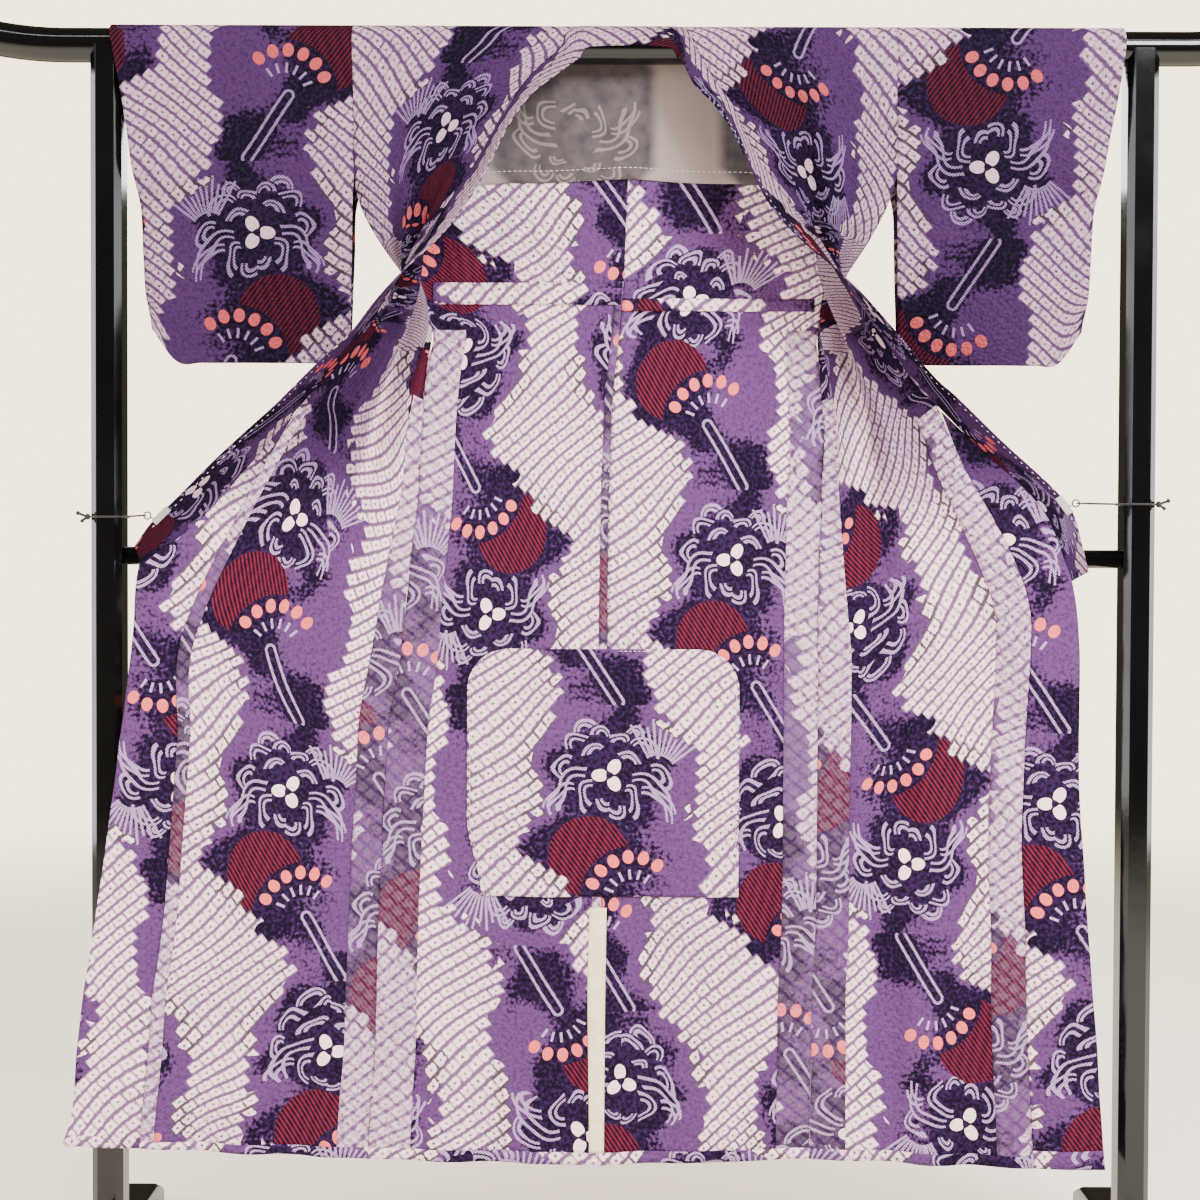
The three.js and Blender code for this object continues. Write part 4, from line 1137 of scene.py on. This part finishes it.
# the stand: round bar, slim posts with cut corners, smooth rail and feet
def addRound(name, line, radius, material, sides):
    line = np.array(line, float)
    tangent = np.gradient(line, axis=0)
    tangent /= np.linalg.norm(tangent, axis=1, keepdims=True)
    guide = np.array([0, 0, 1.0]) if abs(tangent[0][2]) < 0.8 else np.array([0, 1.0, 0])
    side = np.cross(tangent, guide)
    side /= np.linalg.norm(side, axis=1, keepdims=True)
    up = np.cross(side, tangent)
    angles = np.linspace(0, 2 * math.pi, sides, endpoint=False)
    outward = np.cos(angles)[None, :, None] * side[:, None] + np.sin(angles)[None, :, None] * up[:, None]
    rings = line[:, None] + radius * outward
    count = len(line)
    index = np.arange(count * sides).reshape(count, sides)
    after = np.roll(index, -1, 1)
    faces = np.stack([index[:-1], after[:-1], after[1:], index[1:]], -1).reshape(-1, 4).tolist()
    faces += [index[0][::-1].tolist(), index[-1].tolist()]
    mesh = bpy.data.meshes.new(name)
    mesh.from_pydata((rings.reshape(-1, 3) * mm).tolist(), [], faces)
    arc = np.concatenate([[0], np.cumsum(np.linalg.norm(np.diff(line, axis=0), axis=1))])
    uv = np.stack(np.broadcast_arrays(angles[None] * radius, arc[:, None]), -1).reshape(-1, 2) * mm
    layer = mesh.uv_layers.new(name="cloth")
    corners = np.concatenate([np.array(face) for face in faces])
    layer.data.foreach_set("uv", uv[corners].ravel())
    mesh.polygons.foreach_set("use_smooth", [len(face) == 4 for face in faces])
    mesh.materials.append(look[material])
    work = bmesh.new()
    work.from_mesh(mesh)
    bmesh.ops.recalc_face_normals(work, faces=work.faces)
    work.to_mesh(mesh)
    work.free()
    return addPiece(name, mesh)


def barLine():
    x = np.linspace(-bar["half"], bar["half"], 161)
    rise = np.clip((np.abs(x) - bar["straight"]) / (bar["half"] - bar["straight"]), 0, None)
    return np.stack([x, 0 * x, bar["z"] + bar["rise"] * rise ** 2], -1)


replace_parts(addRound("top_bar_round", barLine(), bar["radius"], "black_lacquer", 64), "top_bar")
railEnd = post["x"] - post["halfX"] - post["railGap"]
railLine = [(x, 0, post["railZ"]) for x in (-railEnd, 0, railEnd)]
rail = addRound("mid_rail_round", railLine, post["railRadius"], "black_lacquer", 40)
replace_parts(rail, "mid_rail")


def eased(name, node, width):  # a carried-over solid with its edges rounded
    source = bpy.data.objects[node]
    mesh = source.data.copy()
    work = bmesh.new()
    work.from_mesh(mesh)
    bmesh.ops.remove_doubles(work, verts=work.verts, dist=1e-5)
    bmesh.ops.dissolve_limit(work, angle_limit=math.radians(1), verts=work.verts, edges=work.edges)
    work.to_mesh(mesh)
    work.free()
    mesh.materials.clear()
    mesh.materials.append(look["black_lacquer"])
    obj = addPiece(name, mesh)
    bevel = obj.modifiers.new("rounded", "BEVEL")
    bevel.width = width * mm
    bevel.segments = 3
    bevel.limit_method = "ANGLE"
    bevel.angle_limit = math.radians(20)
    mesh.polygons.foreach_set("use_smooth", np.ones(len(mesh.polygons), bool))
    obj.modifiers.new("sharp", "WEIGHTED_NORMAL")
    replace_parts(obj, node)


for word in ("left", "right"):
    eased(f"post_{word}_rounded", f"post_{word}", 2.2)
    eased(f"foot_{word}_rounded", f"foot_{word}", 3.0)
for word in ("left", "right"):
    for node, material in ((f"clip_{word}", "clip_steel"), (f"tie_{word}", "black_cord")):
        bpy.data.objects[node].data.materials.clear()
        bpy.data.objects[node].data.materials.append(look[material])
print("stand made")


# floor and light
def makeStage():
    s = Shader("floor_paper")
    place = s.place()
    x, y, _ = s.parts(place)
    fade = (x * x + y * y).root().ramp(5.5, 2.2)
    colour = s.blend(s.noise(place, 3.0), (0.89, 0.87, 0.82, 1), (0.92, 0.90, 0.85, 1))
    s.finish(Base_Color=colour, Roughness=0.9, Alpha=fade)
    mesh = bpy.data.meshes.new("floor")
    work = bmesh.new()
    bmesh.ops.create_circle(work, cap_ends=True, radius=6, segments=96)
    work.to_mesh(mesh)
    work.free()
    mesh.materials.append(s.material)
    floor = bpy.data.objects.new("floor", mesh)
    bpy.context.collection.objects.link(floor)

    # the backdrop is bright to the camera, softer on the cloth and dark in the lacquer's reflections
    world = bpy.data.worlds.new("studio")
    bpy.context.scene.world = world
    world.use_nodes = True
    nodes, links = world.node_tree.nodes, world.node_tree.links
    backdrop = nodes["Background"]
    backdrop.inputs["Color"].default_value = tuple(light(240, 237, 229)) + (1.0,)
    ray = nodes.new("ShaderNodeLightPath")
    strength = backdrop.inputs["Strength"]
    for kind, seen in (("Is Camera Ray", 1.0), ("Is Glossy Ray", 0.03)):
        level = nodes.new("ShaderNodeMapRange")
        level.inputs["To Max"].default_value = seen
        links.new(ray.outputs[kind], level.inputs["Value"])
        links.new(level.outputs["Result"], strength)
        strength = level.inputs["To Min"]
    strength.default_value = 0.42

    #  name, place, target, width, height, power
    lights = [
        ("key", (1.9, -2.9, 3.3), (0, 0, 0.9), 1.5, 1.3, 330),
        ("fill", (-3.0, -1.7, 1.9), (0, 0, 1.0), 0.7, 2.0, 80),
        ("left_strip", (-3.0, 0.55, 1.35), (-0.7, 0, 1.2), 0.34, 2.2, 19),
        ("right_strip", (3.0, 0.55, 1.35), (0.7, 0, 1.2), 0.34, 2.2, 19),
        ("left_near", (-2.4, -0.80, 1.35), (0.7, 0, 1.2), 0.30, 2.2, 14),
        ("right_near", (2.4, -0.80, 1.35), (-0.7, 0, 1.2), 0.30, 2.2, 14),
        ("high_strip", (0.0, -2.2, 4.2), (0, 0, 1.7), 3.6, 0.12, 40),
        ("back", (0.4, 2.6, 2.6), (0, 0, 1.1), 1.8, 1.2, 60),
    ]
    for name, at, target, width, height, power in lights:
        data = bpy.data.lights.new(name, "AREA")
        data.shape, data.size, data.size_y, data.energy = "RECTANGLE", width, height, power
        lamp = bpy.data.objects.new(name, data)
        lamp.location = at
        lamp.rotation_euler = (Vector(target) - Vector(at)).to_track_quat("-Z", "Y").to_euler()
        bpy.context.collection.objects.link(lamp)


makeStage()
print("stage made")
